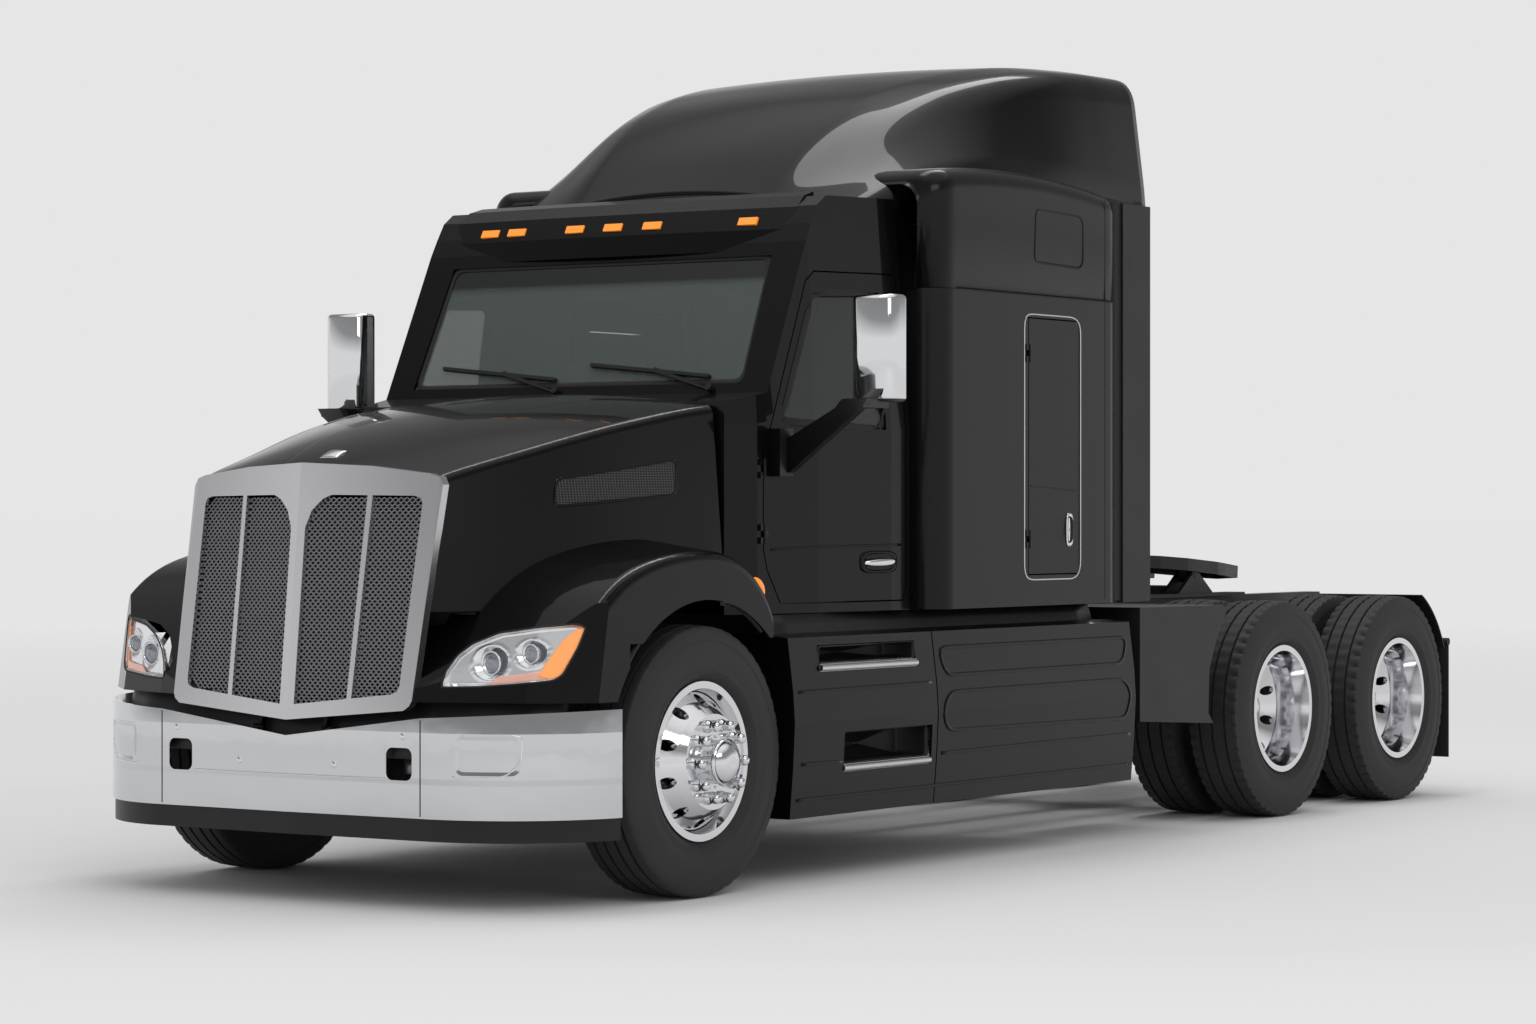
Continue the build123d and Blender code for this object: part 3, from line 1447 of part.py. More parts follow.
with BuildPart() as fifth_wheel_mount:
    block((frame_half_width - 40, aft(4750), rail_top + seat_gap), (frame_half_width + 60, aft(5760), rail_top + 16))
    for ear_x in (pivot_x - 40, pivot_x + 40):
        with BuildSketch(side_plane(ear_x)) as ear_view:
            with BuildLine():
                Polyline(
                    (aft(pivot_y - 190), rail_top + 10),
                    (aft(pivot_y + 190), rail_top + 10),
                    (aft(pivot_y + 40), pivot_z),
                    (aft(pivot_y - 40), pivot_z),
                    close=True,
                )
            make_face()
            with Locations((aft(pivot_y), pivot_z)):
                Circle(40)
        extrude(ear_view.sketch, amount=10, both=True)
    with BuildSketch(side_plane(pivot_x)) as pivot_view:
        with Locations((aft(pivot_y), pivot_z)):
            Circle(pivot_radius)
    extrude(pivot_view.sketch, amount=52, both=True)
    block((pivot_x - 70, aft(pivot_y - 190), rail_top + 2), (frame_half_width, aft(pivot_y + 190), rail_top + 16))
    mirror(about=Plane.YZ)
    block((-pivot_x + 60, aft(pivot_y - 170), rail_top + 2), (pivot_x - 60, aft(pivot_y - 90), rail_top + 50))
    block((-pivot_x + 60, aft(pivot_y + 90), rail_top + 2), (pivot_x - 60, aft(pivot_y + 170), rail_top + 50))
save(fifth_wheel_mount.part, "fifth_wheel_mount")

# ============================================================
# Inside the cab, wipers and rear lamps
# ============================================================
dash_profile = [(545, 1480), (545, 1840), (700, 1915), (900, 1880), (930, 1700), (820, 1560), (820, 1480)]
wheel_centre = (420, 1050, 1790)
wheel_rim_radius = 220
wheel_rim_wire = 14
column_tilt = 35
seat_xs = (450, -450)

with BuildPart() as dashboard:
    with BuildSketch(side_plane(-850)) as dash_view:
        with BuildLine():
            Polyline(*plan_swap(dash_profile), close=True)
        make_face()
    extrude(dash_view.sketch, amount=1700, dir=(1, 0, 0))
    block((-300, aft(540), 1109), (300, aft(700), 1490))
    add(cab_volume(cab_wall + seat_gap), mode=Mode.INTERSECT)
    column_axis = (0, sin(radians(column_tilt)), cos(radians(column_tilt)))
    rim_plane = Plane(
        origin=(wheel_centre[0], aft(wheel_centre[1]), wheel_centre[2]), x_dir=(1, 0, 0), z_dir=column_axis
    )
    with BuildSketch(rim_plane) as column_view:
        Circle(28)
    extrude(column_view.sketch, amount=-300)
    with BuildSketch(rim_plane) as hub_view:
        Circle(70)
        Rectangle(2 * wheel_rim_radius, 36)
    extrude(hub_view.sketch, amount=10, both=True)
    with Locations(rim_plane):
        Torus(wheel_rim_radius, wheel_rim_wire)
save(dashboard.part, "dashboard")

with BuildPart() as seats:
    for x in seat_xs:
        block((x - 160, aft(1230), cab_bottom + cab_wall + seat_gap), (x + 160, aft(1500), 1360))
        block((x - 250, aft(1130), 1360), (x + 250, aft(1570), 1480))
        block((x - 240, aft(1450), 1480), (x + 240, aft(1570), 2120))
save(seats.part, "seats")

windshield_rise = windshield_head - cowl_top
windshield_run = windshield_head_y - windshield_foot_y
windshield_angle = degrees(atan2(windshield_rise, windshield_run))
glass_plane = Plane(
    origin=(0, aft(windshield_foot_y), cowl_top),
    x_dir=(1, 0, 0),
    z_dir=(0, -sin(radians(windshield_angle)), cos(radians(windshield_angle))),
)
glass_recess = 14
with BuildPart() as wipers:
    for x in (-80, 700):
        with BuildSketch(glass_plane.offset(seat_gap - glass_recess)) as blade_view:
            with Locations((x - 330, 110)):
                Rectangle(620, 14, rotation=-6)
        extrude(blade_view.sketch, amount=glass_recess + 6)
        with BuildSketch(glass_plane.offset(2)) as arm_view:
            with BuildLine():
                Polyline(
                    (x - 12, 14),
                    (x + 12, 14),
                    (x - 300, 120),
                    (x - 312, 102),
                    close=True,
                )
            make_face()
        extrude(arm_view.sketch, amount=10)
        with BuildSketch(glass_plane.offset(seat_gap)) as boss_view:
            with Locations((x, 22)):
                Circle(16)
        extrude(boss_view.sketch, amount=20)
save(wipers.part, "wipers")

tail_lamp_xs = (210, 320)
with BuildPart() as tail_lights:
    for x in tail_lamp_xs:
        with BuildSketch(front_plane(rail_tail_y + 10 + seat_gap)) as lamp_view:
            with Locations((x, 905)):
                Circle(50)
        extrude(lamp_view.sketch, amount=tail_lamp_depth, dir=(0, 1, 0))
    mirror(about=Plane.YZ)
save(tail_lights.part, "tail_lights")
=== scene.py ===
import bmesh
import bpy
import json
import math
import numpy as np
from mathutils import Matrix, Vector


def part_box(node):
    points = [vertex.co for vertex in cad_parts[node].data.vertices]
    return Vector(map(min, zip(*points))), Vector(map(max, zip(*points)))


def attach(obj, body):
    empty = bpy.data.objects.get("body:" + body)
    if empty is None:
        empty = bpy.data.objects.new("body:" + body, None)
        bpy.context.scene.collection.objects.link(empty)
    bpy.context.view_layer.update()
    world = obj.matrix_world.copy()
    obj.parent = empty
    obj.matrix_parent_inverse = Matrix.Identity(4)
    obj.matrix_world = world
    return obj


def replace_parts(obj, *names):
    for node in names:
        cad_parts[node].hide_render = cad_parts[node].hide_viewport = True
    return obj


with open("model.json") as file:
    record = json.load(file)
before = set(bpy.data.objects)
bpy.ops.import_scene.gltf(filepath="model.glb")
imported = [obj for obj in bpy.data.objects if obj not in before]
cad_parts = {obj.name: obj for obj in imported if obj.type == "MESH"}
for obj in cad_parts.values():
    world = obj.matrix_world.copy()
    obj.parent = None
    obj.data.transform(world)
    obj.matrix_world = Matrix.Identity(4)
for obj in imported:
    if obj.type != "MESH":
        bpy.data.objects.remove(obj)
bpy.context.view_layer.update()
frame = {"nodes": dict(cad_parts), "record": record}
scene = bpy.context.scene
sides = {"left": 1, "right": -1}
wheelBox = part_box("steer_wheel_left")
frontAxleY = (wheelBox[0][1] + wheelBox[1][1]) / 2
print("frame loaded, front axle at", round(frontAxleY, 3))


def back(distance):
    return frontAxleY + distance  # y of a station this far behind the front axle, in metres


# shader maths
def connect(tree, socket, value):
    # a Sock is linked, anything else becomes the socket's fixed value
    if isinstance(value, Sock):
        tree.links.new(value.out, socket)
    else:
        socket.default_value = value


def setStops(ramp, stops):
    # a new ramp has two stops already, the others are added
    for number, (spot, grey) in enumerate(stops):
        stop = ramp.elements[number] if number < 2 else ramp.elements.new(spot)
        stop.position = spot
        stop.color = (grey, grey, grey, 1)


def makeNode(tree, kind, sockets=(), output=0, **settings):
    # the settings are set first, then the values or links of the sockets; output names what is given back
    made = tree.nodes.new("ShaderNode" + kind)
    for key, value in settings.items():
        if key == "stops":
            setStops(made.color_ramp, value)
        else:
            setattr(made, key, value)
    for key, value in dict(sockets).items():
        connect(tree, made.inputs[key], value)
    if isinstance(output, tuple):
        return [Sock(tree, made.outputs[name]) for name in output]
    return Sock(tree, made.outputs[output])


def operator(operation):
    return lambda first, *others: first.maths(operation, first, *others)


def reflected(operation):
    return lambda second, first: second.maths(operation, first, second)


class Sock:
    # wraps a node socket so that values combine as Python expressions
    __add__, __radd__ = operator("ADD"), reflected("ADD")
    __sub__, __rsub__ = operator("SUBTRACT"), reflected("SUBTRACT")
    __mul__, __rmul__ = operator("MULTIPLY"), reflected("MULTIPLY")
    __pow__, __abs__, sine = operator("POWER"), operator("ABSOLUTE"), operator("SINE")
    atLeast, atMost = operator("MAXIMUM"), operator("MINIMUM")

    def __init__(self, tree, out):
        self.tree = tree
        self.out = out

    def maths(self, operation, *values):
        return makeNode(self.tree, "Math", enumerate(values), operation=operation)

    def ramped(self, low, high):  # 0 below low, 1 above high, straight between
        return ((self - low) * (1 / (high - low))).atLeast(0.0).atMost(1.0)


socketNames = {
    "colour": "Base Color", "roughness": "Roughness", "metallic": "Metallic",
    "specular": "Specular IOR Level",
    "coat": "Coat Weight", "coatRoughness": "Coat Roughness", "coatIor": "Coat IOR", "alpha": "Alpha",
    "emission": "Emission Color", "glow": "Emission Strength", "normal": "Normal",
}


class Shader:
    # one material with a Principled surface; put() sets or links the surface's sockets
    def __init__(self, name, colour, roughness, metallic=0.0, **fixed):
        self.material = bpy.data.materials.new(name)
        self.material.use_nodes = True
        self.tree = self.material.node_tree
        self.surface = self.tree.nodes["Principled BSDF"]
        self.put(colour=colour, roughness=roughness, metallic=metallic, **fixed)
        self.place = makeNode(self.tree, "TexCoord", output="Object")

    def put(self, **values):
        for key, value in values.items():
            value = (*value, 1) if isinstance(value, tuple) else value
            connect(self.tree, self.surface.inputs[socketNames[key]], value)

    def axes(self):
        return makeNode(self.tree, "SeparateXYZ", {"Vector": self.place}, ("X", "Y", "Z"))

    def noise(self, scale, detail=4.0, stretch=None):
        where = self.place
        if stretch:
            where = makeNode(self.tree, "Mapping", {"Vector": where, "Scale": stretch})
        return makeNode(self.tree, "TexNoise", {"Vector": where, "Scale": scale, "Detail": detail})

    def cells(self, scale):
        return makeNode(self.tree, "TexVoronoi", {"Vector": self.place, "Scale": scale})

    def blend(self, factor, first, second):
        # the colour sockets of the node come after its number and vector ones
        return makeNode(self.tree, "Mix", {0: factor, 6: (*first, 1), 7: (*second, 1)}, 2, data_type="RGBA")

    def bump(self, height, strength, distance):
        sockets = {"Height": height, "Strength": strength, "Distance": distance}
        self.put(normal=makeNode(self.tree, "Bump", sockets))


# finishes
paintLook = {"colour": (0.0022, 0.0022, 0.0025), "coatIor": 1.34, "coat": 0.62, "dust": 0.10, "least": 0.26}


def glossPaint(name, colour=paintLook["colour"], coatRoughness=0.035, peel=True):
    # a clear coat over a dark base, with faint dust and a trace of orange peel
    paint = Shader(name, colour, paintLook["least"], specular=0.06, coat=paintLook["coat"],
                   coatRoughness=coatRoughness, coatIor=paintLook["coatIor"])
    paint.put(roughness=paint.noise(2.2, 6.0) * paintLook["dust"] + paintLook["least"])
    if peel:
        paint.bump(paint.noise(120.0, 2.0), 0.03, 0.0003)
    return paint


def bonnetPaint():
    # two creases run from the cowl towards the latch and a raised panel lies between them
    paint = glossPaint("bonnetPaint", peel=False)
    x, y, z = paint.axes()
    along = (y - back(-0.86)) * (1 / 1.33)  # 0 at the nose, 1 at the cowl
    half = along * 0.30 + 0.17
    step = ((abs(x) - half) * (1 / 0.02)).ramped(-0.5, 0.5) * -1.0 + 1.0
    onTop = (z - 1.5).ramped(0.0, 0.05)
    paint.bump(step * onTop + paint.noise(120.0, 2.0) * 0.02, 0.35, 0.006)
    return paint.material


def grained(name, colour, grain, metallic=0.0, relief=None, worn=None, **fixed):
    # grain is the roughness noise: scale, detail, gain, least roughness and perhaps a stretch
    # relief is strength, depth and perhaps a noise of its own; worn is two colours that the grain blends
    scale, detail, gain, least, *stretch = grain
    made = Shader(name, colour, least, metallic, **fixed)
    noise = made.noise(scale, detail, *stretch)
    made.put(roughness=noise * gain + least)
    if relief:
        strength, depth, *own = relief
        made.bump(made.noise(*own) if own else noise, strength, depth)
    if worn:
        made.put(colour=made.blend(noise, *worn))
    return made.material


def roundedBox(a, b, centre, half, corner):
    # distance to a rounded rectangle's edge, in the two coordinates a and b
    da = (abs(a - centre[0]) - (half[0] - corner)).atLeast(0.0)
    db = (abs(b - centre[1]) - (half[1] - corner)).atLeast(0.0)
    return (da * da + db * db) ** 0.5 - corner


def bumperChrome():
    # shallow pressed panels at both ends, a lower band, a rolled top and a crowned middle
    plate = Shader("bumperChrome", (0.66, 0.67, 0.69), 0.07, 1.0)
    x, y, z = plate.axes()
    panel = roundedBox(abs(x), z, (0.900, 0.580), (0.110, 0.072), 0.03).ramped(-0.014, 0.0)
    lowBand = z.ramped(0.470, 0.492)
    topRoll = z.ramped(0.660, 0.745)
    belly = (z - 0.560) * (1 / 0.19)
    ripple = plate.noise(2.2, 3.0)
    plate.put(roughness=plate.noise(7.0, 6.0) * 0.07 + 0.05)
    plate.bump(panel * 0.8 + lowBand * 0.6 - topRoll * 1.5 + ripple * 1.8 - belly * belly * 1.6, 0.7, 0.010)
    return plate.material


def holed(first, second, low, high):
    # rows of holes: the product of two sines, cut off between low and high
    return abs(first.sine() * second.sine()).ramped(low, high)


def dimpledAlloy():
    # rows of small pressed dimples with open middles
    alloy = Shader("dimpledAlloy", (0.66, 0.66, 0.67), 0.3, 1.0)
    x, y, z = alloy.axes()
    pitch = math.pi / 0.016
    dimple = holed(x * pitch, y * pitch, 0.55, 0.8)
    alloy.put(colour=alloy.blend(dimple, (0.70, 0.70, 0.71), (0.10, 0.10, 0.10)),
              roughness=alloy.noise(40.0, 3.0) * 0.2 + 0.25)
    alloy.bump(dimple * -1.0, 0.6, 0.002)
    return alloy.material


def ventSteel():
    # a dark punched sheet
    steel = Shader("ventMesh", (0.012, 0.012, 0.013), 0.4, specular=0.4)
    x, y, z = steel.axes()
    hole = holed(y * (math.pi / 0.014), z * (math.pi / 0.010), 0.30, 0.55)
    steel.put(colour=steel.blend(hole, (0.045, 0.045, 0.047), (0.002, 0.002, 0.002)),
              roughness=hole * 0.3 + 0.35)
    steel.bump(hole * -1.0, 0.7, 0.003)
    return steel.material


def windowGlass(name, alpha, tint, band=None):
    # a grey-green tint under a glossy face, with a dark band along the windshield's head
    glass = Shader(name, tint, 0.04, alpha=alpha, specular=0.5, coat=0.4, coatRoughness=0.01)
    glass.put(roughness=glass.noise(4.0, 3.0) * 0.03 + 0.02)
    if band:
        head = glass.axes()[2].ramped(*band)
        glass.put(alpha=head * (0.97 - alpha) + alpha,
                  colour=glass.blend(head, tint, (0.004, 0.005, 0.005)))
    return glass.material


def colouredLens(name, colour, glow):
    return grained(name, colour, (60.0, 2.0, 0.1, 0.08, (4, 0.4, 4)), relief=(0.2, 0.001), coat=1.0,
                   emission=colour, glow=glow)


def lampCup(name, colour, roughness, **fixed):
    # a moulded cup behind the lens, pressed into small cells
    cup = Shader(name, colour, roughness, coat=1.0, **fixed)
    cup.bump(cup.cells(160.0), 0.3, 0.002)
    return cup.material


def mirrorShell():
    # the head's face and sides are chrome, its back and the arm are black plastic
    shell = Shader("mirrorShell", (0.8, 0.8, 0.82), 0.06, 1.0)
    x, y, z = shell.axes()
    head = abs(x).ramped(1.2605, 1.2625) * z.ramped(1.9155, 1.9175)
    shiny = head * (1.0 - y.ramped(back(0.972), back(0.976)))
    shell.put(colour=shell.blend(shiny, (0.010, 0.010, 0.011), (0.80, 0.81, 0.83)), metallic=shiny,
              roughness=0.42 - shiny * 0.36)
    # crowned faces: the height falls away with the square of the distance from the middle
    acrossFace = (abs(x) - 1.371) * (1 / 0.109)
    alongFace = (z - 2.1175) * (1 / 0.2125)
    shell.bump((acrossFace * acrossFace + alongFace * alongFace) * -1.0, 1.0, 0.030)
    return shell.material


def seatCloth():
    cloth = Shader("seatCloth", (0.05, 0.05, 0.055), 0.9)
    weave = cloth.noise(500.0, 2.0)
    cloth.put(colour=cloth.blend(weave, (0.035, 0.035, 0.04), (0.075, 0.075, 0.08)))
    cloth.bump(weave, 0.4, 0.0008)
    return cloth.material


finishes = {
    "body_black": glossPaint("glossBlackPaint").material,
    "frame_black": grained("chassisPaint", (0.010, 0.010, 0.010), (6.0, 6.0, 0.25, 0.3),
                           relief=(0.1, 0.001, 60.0, 4.0), specular=0.35),
    "chrome": grained("brightChrome", (0.80, 0.81, 0.83), (3.0, 5.0, 0.05, 0.04), 1.0,
                      relief=(0.05, 0.004, 5.0, 2.0)),
    "satin_silver": grained("brushedSilver", (0.62, 0.62, 0.64), (60.0, 3.0, 0.14, 0.17, (12, 12, 0.4)),
                            1.0, relief=(0.05, 0.0004)),
    "mesh_silver": grained("wovenSteel", (0.36, 0.36, 0.38), (90.0, 3.0, 0.2, 0.25), 1.0),
    "polished_aluminium": grained("polishedAlloy", (0.78, 0.78, 0.80), (25.0, 4.0, 0.10, 0.06, (1, 3, 3)),
                                  1.0, relief=(0.02, 0.0005, 70.0, 2.0)),
    "tyre_rubber": grained("tyreRubber", (0.016, 0.016, 0.017), (5.0, 6.0, 0.25, 0.5), specular=0.35,
                           relief=(0.12, 0.0006, 260.0, 3.0),
                           worn=((0.012, 0.012, 0.013), (0.030, 0.029, 0.028))),
    "rubber": grained("flapRubber", (0.014, 0.014, 0.014), (12.0, 5.0, 0.2, 0.5), specular=0.3,
                      relief=(0.1, 0.0006, 180.0, 3.0)),
    "black_plastic": grained("grainedPlastic", (0.010, 0.010, 0.011), (4.0, 5.0, 0.14, 0.34), specular=0.3,
                             relief=(0.1, 0.0004, 320.0, 2.0)),
    "lens_clear": grained("clearLens", (0.80, 0.84, 0.88), (8.0, 3.0, 0.03, 0.02), alpha=0.10, coat=1.0,
                          coatRoughness=0.02),
    "lens_amber": colouredLens("amberLens", (0.95, 0.27, 0.015), 0.22),
    "lens_red": colouredLens("redLens", (0.55, 0.01, 0.01), 0.1),
    "window_glass": windowGlass("doorGlass", 0.55, (0.012, 0.016, 0.015)),
    "cast_iron": grained("castMetal", (0.022, 0.022, 0.023), (10.0, 6.0, 0.3, 0.35), 0.4,
                         relief=(0.25, 0.001, 120.0, 4.0),
                         worn=((0.014, 0.014, 0.015), (0.035, 0.034, 0.033))),
    "tank_aluminium": grained("tankMetal", (0.62, 0.63, 0.65), (20.0, 4.0, 0.2, 0.18, (6, 0.5, 6)), 1.0),
    "seat_fabric": seatCloth(),
}
ownFinishes = {
    "hood": bonnetPaint(),
    "bumper": bumperChrome(),
    "windshield": windowGlass("windshieldGlass", 0.40, (0.105, 0.130, 0.122), band=(2.385, 2.425)),
    "sleeper_shell": glossPaint("satinBlackPaint", (0.0055, 0.0055, 0.006), 0.16).material,
    "step_treads": dimpledAlloy(),
    "mirror_left": mirrorShell(),
}
ownFinishes["mirror_right"] = ownFinishes["mirror_left"]

for row in frame["record"]["subparts"]:
    part = frame["nodes"][row["node"]]
    part.data.materials.clear()
    part.data.materials.append(ownFinishes.get(row["node"], finishes[row["material_slot"]]))
print("finishes on", len(frame["nodes"]), "nodes")


# surfaces as whole arrays
def gridFaces(rows, columns, closeRows=False, closeColumns=False):
    # each point with its next ones along the row and the column, wrapped round where the grid closes
    r = np.arange(rows if closeRows else rows - 1)[:, None]
    c = np.arange(columns if closeColumns else columns - 1)[None, :]
    rNext, cNext = (r + 1) % rows, (c + 1) % columns
    quads = [r * columns + c, r * columns + cNext, rNext * columns + cNext, rNext * columns + c]
    return np.stack([np.broadcast_to(q, (r.size, c.size)) for q in quads], -1).reshape(-1, 4)


def grid(points, **closed):
    return points, gridFaces(*points.shape[:2], **closed)


def gather(shapes):
    # several (points, faces) become one, each one's faces counted on from the last
    points, faces, start = [], [], 0
    for shapePoints, shapeFaces in shapes:
        points.append(np.asarray(shapePoints, float).reshape(-1, 3))
        faces.append(np.asarray(shapeFaces, int) + start)
        start += len(points[-1])
    return np.concatenate(points), np.concatenate(faces)


def copied(shape, places):
    # one small shape set at each of the places, its faces counted on from copy to copy
    points, faces = shape
    points = points.reshape(-1, 3)
    starts = np.arange(len(places))[:, None, None] * len(points)
    return np.asarray(places)[:, None] + points, (faces + starts).reshape(-1, 4)


def makePiece(name, shapes, body, slotName, finish=None, outward=True):
    # a mesh from shapes of (points, faces), in its slot's finish unless it has its own
    points, faces = gather(shapes)
    mesh = bpy.data.meshes.new(name)
    mesh.vertices.add(len(points))
    mesh.vertices.foreach_set("co", points.ravel())
    mesh.loops.add(faces.size)
    mesh.loops.foreach_set("vertex_index", faces.ravel().astype(np.int32))
    mesh.polygons.add(len(faces))
    mesh.polygons.foreach_set("loop_start", np.arange(0, faces.size, 4, dtype=np.int32))
    mesh.polygons.foreach_set("use_smooth", np.ones(len(faces), bool))
    mesh.update(calc_edges=True)
    mesh.validate()
    welded = bmesh.new()
    welded.from_mesh(mesh)
    bmesh.ops.remove_doubles(welded, verts=welded.verts, dist=0.00002)
    if outward:
        bmesh.ops.recalc_face_normals(welded, faces=welded.faces)
    welded.to_mesh(mesh)
    welded.free()
    mesh.materials.append(finish or finishes[slotName])
    piece = bpy.data.objects.new(name, mesh)
    scene.collection.objects.link(piece)
    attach(piece, body)
    return piece


def makeSheet(name, shapes, wall, body, slotName, finish=None, offset=0.0):
    # an open surface given a wall; the offset says which side of the surface the wall lies on
    piece = makePiece(name, shapes, body, slotName, finish, outward=False)
    solid = piece.modifiers.new("wall", "SOLIDIFY")
    solid.thickness = wall
    solid.offset = offset
    return piece


def unit(vectors):
    # each vector divided by its own length
    vectors = np.asarray(vectors, float)
    return vectors / np.maximum(np.linalg.norm(vectors, axis=-1, keepdims=True), 1e-12)


def signedPower(value, exponent):
    # the power of the size, with the sign kept
    return np.sign(value) * np.abs(value) ** exponent


def swept(path, first, second, sides):
    # an oval carried along a path: cosine of one half axis and sine of the other, given at each point
    angle = (np.arange(sides) * (2 * math.pi / sides))[:, None]
    oval = np.cos(angle) * first[:, None] + np.sin(angle) * second[:, None]
    return grid(path[:, None] + oval, closeColumns=True)


def turned(profile, centre, axis, first, second, turns):
    # a profile of (distance along the axis, radius) turned about it, in the plane of two directions
    profile = np.asarray(profile, float)
    path = np.asarray(centre) + profile[:, :1] * np.asarray(axis)
    return swept(path, profile[:, 1:] * np.asarray(first), profile[:, 1:] * np.asarray(second), turns)


def turnedSideways(profile, turns, centre, outward):
    # a profile turned about a sideways axis that points away from the vehicle
    return turned(profile, centre, (outward, 0, 0), (0, 1, 0), (0, 0, 1), turns)


def tube(path, radius, sides):
    # a round section carried along a path, its frame turned by the path's own heading
    ahead = unit(np.gradient(path, axis=0))
    helper = np.where(np.abs(ahead[:, 2:3]) < 0.9, [[0.0, 0.0, 1.0]], [[1.0, 0.0, 0.0]])
    first = unit(np.cross(ahead, helper))
    return swept(path, first * radius, np.cross(ahead, first) * radius, sides)


def laidOn(nodes, starts, direction, batch=200, slack=1e-6):
    # where straight lines from the starts first meet the nodes: every line is solved against every triangle
    starts = np.asarray(starts, float)
    direction = unit(direction)
    corners = []
    for node in nodes:
        mesh = frame["nodes"][node].data
        mesh.calc_loop_triangles()
        co = np.empty(len(mesh.vertices) * 3)
        mesh.vertices.foreach_get("co", co)
        index = np.empty(len(mesh.loop_triangles) * 3, dtype=np.int32)
        mesh.loop_triangles.foreach_get("vertices", index)
        corners.append(co.reshape(-1, 3)[index].reshape(-1, 3, 3))
    corners = np.concatenate(corners)
    first, second = corners[:, 1] - corners[:, 0], corners[:, 2] - corners[:, 0]
    normals = np.cross(first, second)
    facing = normals @ direction < -1e-12
    corners, first, second, normals = corners[facing], first[facing], second[facing], unit(normals[facing])
    across = np.cross(direction, second)
    scale = 1.0 / np.einsum("ij,ij->i", first, across)
    best = np.full(len(starts), np.inf)
    lean = np.tile(-direction, (len(starts), 1))
    for low in range(0, len(starts), batch):
        gap = starts[low:low + batch, None, :] - corners[None, :, 0, :]
        u = np.einsum("pti,ti->pt", gap, across) * scale
        side = np.cross(gap, first[None])
        v = side @ direction * scale
        reach = np.einsum("pti,ti->pt", side, second) * scale
        inside = (u > -slack) & (v > -slack) & (u + v < 1 + slack) & (reach > 0)
        reach = np.where(inside, reach, np.inf)
        best[low:low + batch] = reach.min(axis=1)
        lean[low:low + batch] = normals[reach.argmin(axis=1)]
    missed = ~np.isfinite(best)
    if missed.all():
        raise RuntimeError("no line meets " + ", ".join(nodes))
    best[missed] = np.interp(np.flatnonzero(missed), np.flatnonzero(~missed), best[~missed])
    return starts + best[:, None] * direction, lean


def onFlank(nodes, side, y, z, out=1.6):
    # points given as behind the front axle and z, dropped sideways on a flank of the vehicle
    return laidOn(nodes, np.column_stack([np.full(len(y), side * out), back(y), z]), (-side, 0, 0))


def onFront(nodes, x, z, ahead=-1.5):
    # points given as x and z, dropped backwards on the front of the vehicle
    return laidOn(nodes, np.column_stack([x, np.full(len(x), back(ahead)), z]), (0, 1, 0))


def divided(points, step, closed=False):
    # points at even steps along straight runs
    points = np.asarray(points, float)
    if closed:
        points = np.vstack([points, points[:1]])
    runs = np.linalg.norm(np.diff(points, axis=0), axis=1)
    total = np.concatenate([[0], np.cumsum(runs)])
    wanted = np.linspace(0, total[-1], max(int(total[-1] / step), 2) + 1)
    if closed:
        wanted = wanted[:-1]
    return np.stack([np.interp(wanted, total, points[:, i]) for i in range(points.shape[1])], -1)


def roundedLoop(corners, radius, arcPoints=6):
    # a closed outline whose corners are replaced by arcs: the arc is blended between the two cut points
    corners = np.asarray(corners, float)
    before, after = np.roll(corners, 1, axis=0), np.roll(corners, -1, axis=0)
    reachIn = np.minimum(radius, 0.48 * np.linalg.norm(before - corners, axis=1))[:, None]
    reachOut = np.minimum(radius, 0.48 * np.linalg.norm(after - corners, axis=1))[:, None]
    a = corners + unit(before - corners) * reachIn
    b = corners + unit(after - corners) * reachOut
    return bent(a, corners, b, np.linspace(0, 1, arcPoints)).reshape(-1, corners.shape[1])


def bent(start, corner, end, t):
    # a curve from start to end that leans to the corner: a blend by the squares and product of t and 1 - t
    t = t[None, :, None]
    return (1 - t) ** 2 * start[:, None] + 2 * t * (1 - t) * corner[:, None] + t ** 2 * end[:, None]


def strip(path, normals, width, height, closed=False, sink=0.0006):
    # a flat band carried along a path on a surface: its edges are offsets across and along the normal
    normals = unit(normals)
    if closed:
        ahead = np.roll(path, -1, axis=0) - np.roll(path, 1, axis=0)
    else:
        ahead = np.gradient(path, axis=0)
    across = unit(np.cross(unit(ahead), normals))
    shoulder = 0.6 * height
    half = ((0.5, -sink), (0.5, shoulder), (0.3, height))
    section = [(-a, n) for a, n in half] + list(half[::-1])
    points = np.stack([path + across * (a * width) + normals * n for a, n in section], 1)
    points, faces = grid(points, closeRows=closed, closeColumns=True)
    if closed:
        return points, faces
    caps = np.array([[0, 1, 4, 5], [1, 2, 3, 4]])
    last = (len(path) - 1) * len(section)
    return points, np.concatenate([faces, caps, last + caps[:, ::-1]])


def sideSeam(nodes, outline, side, width, height, step=0.03, radius=None):
    # a band on a flank along an outline of (behind the front axle, z), closed where its corners are rounded
    closed = radius is not None
    flat = divided(roundedLoop(outline, radius) if closed else outline, step, closed)
    path, normals = onFlank(nodes, side, *flat.T)
    return strip(path, normals, width, height, closed)


def frontSeam(nodes, outline, width, height=0.0014, step=0.015, closed=False):
    # a band on the front along an outline of (x, z)
    path, normals = onFront(nodes, *divided(outline, step, closed).T)
    return strip(path, normals, width, height, closed)


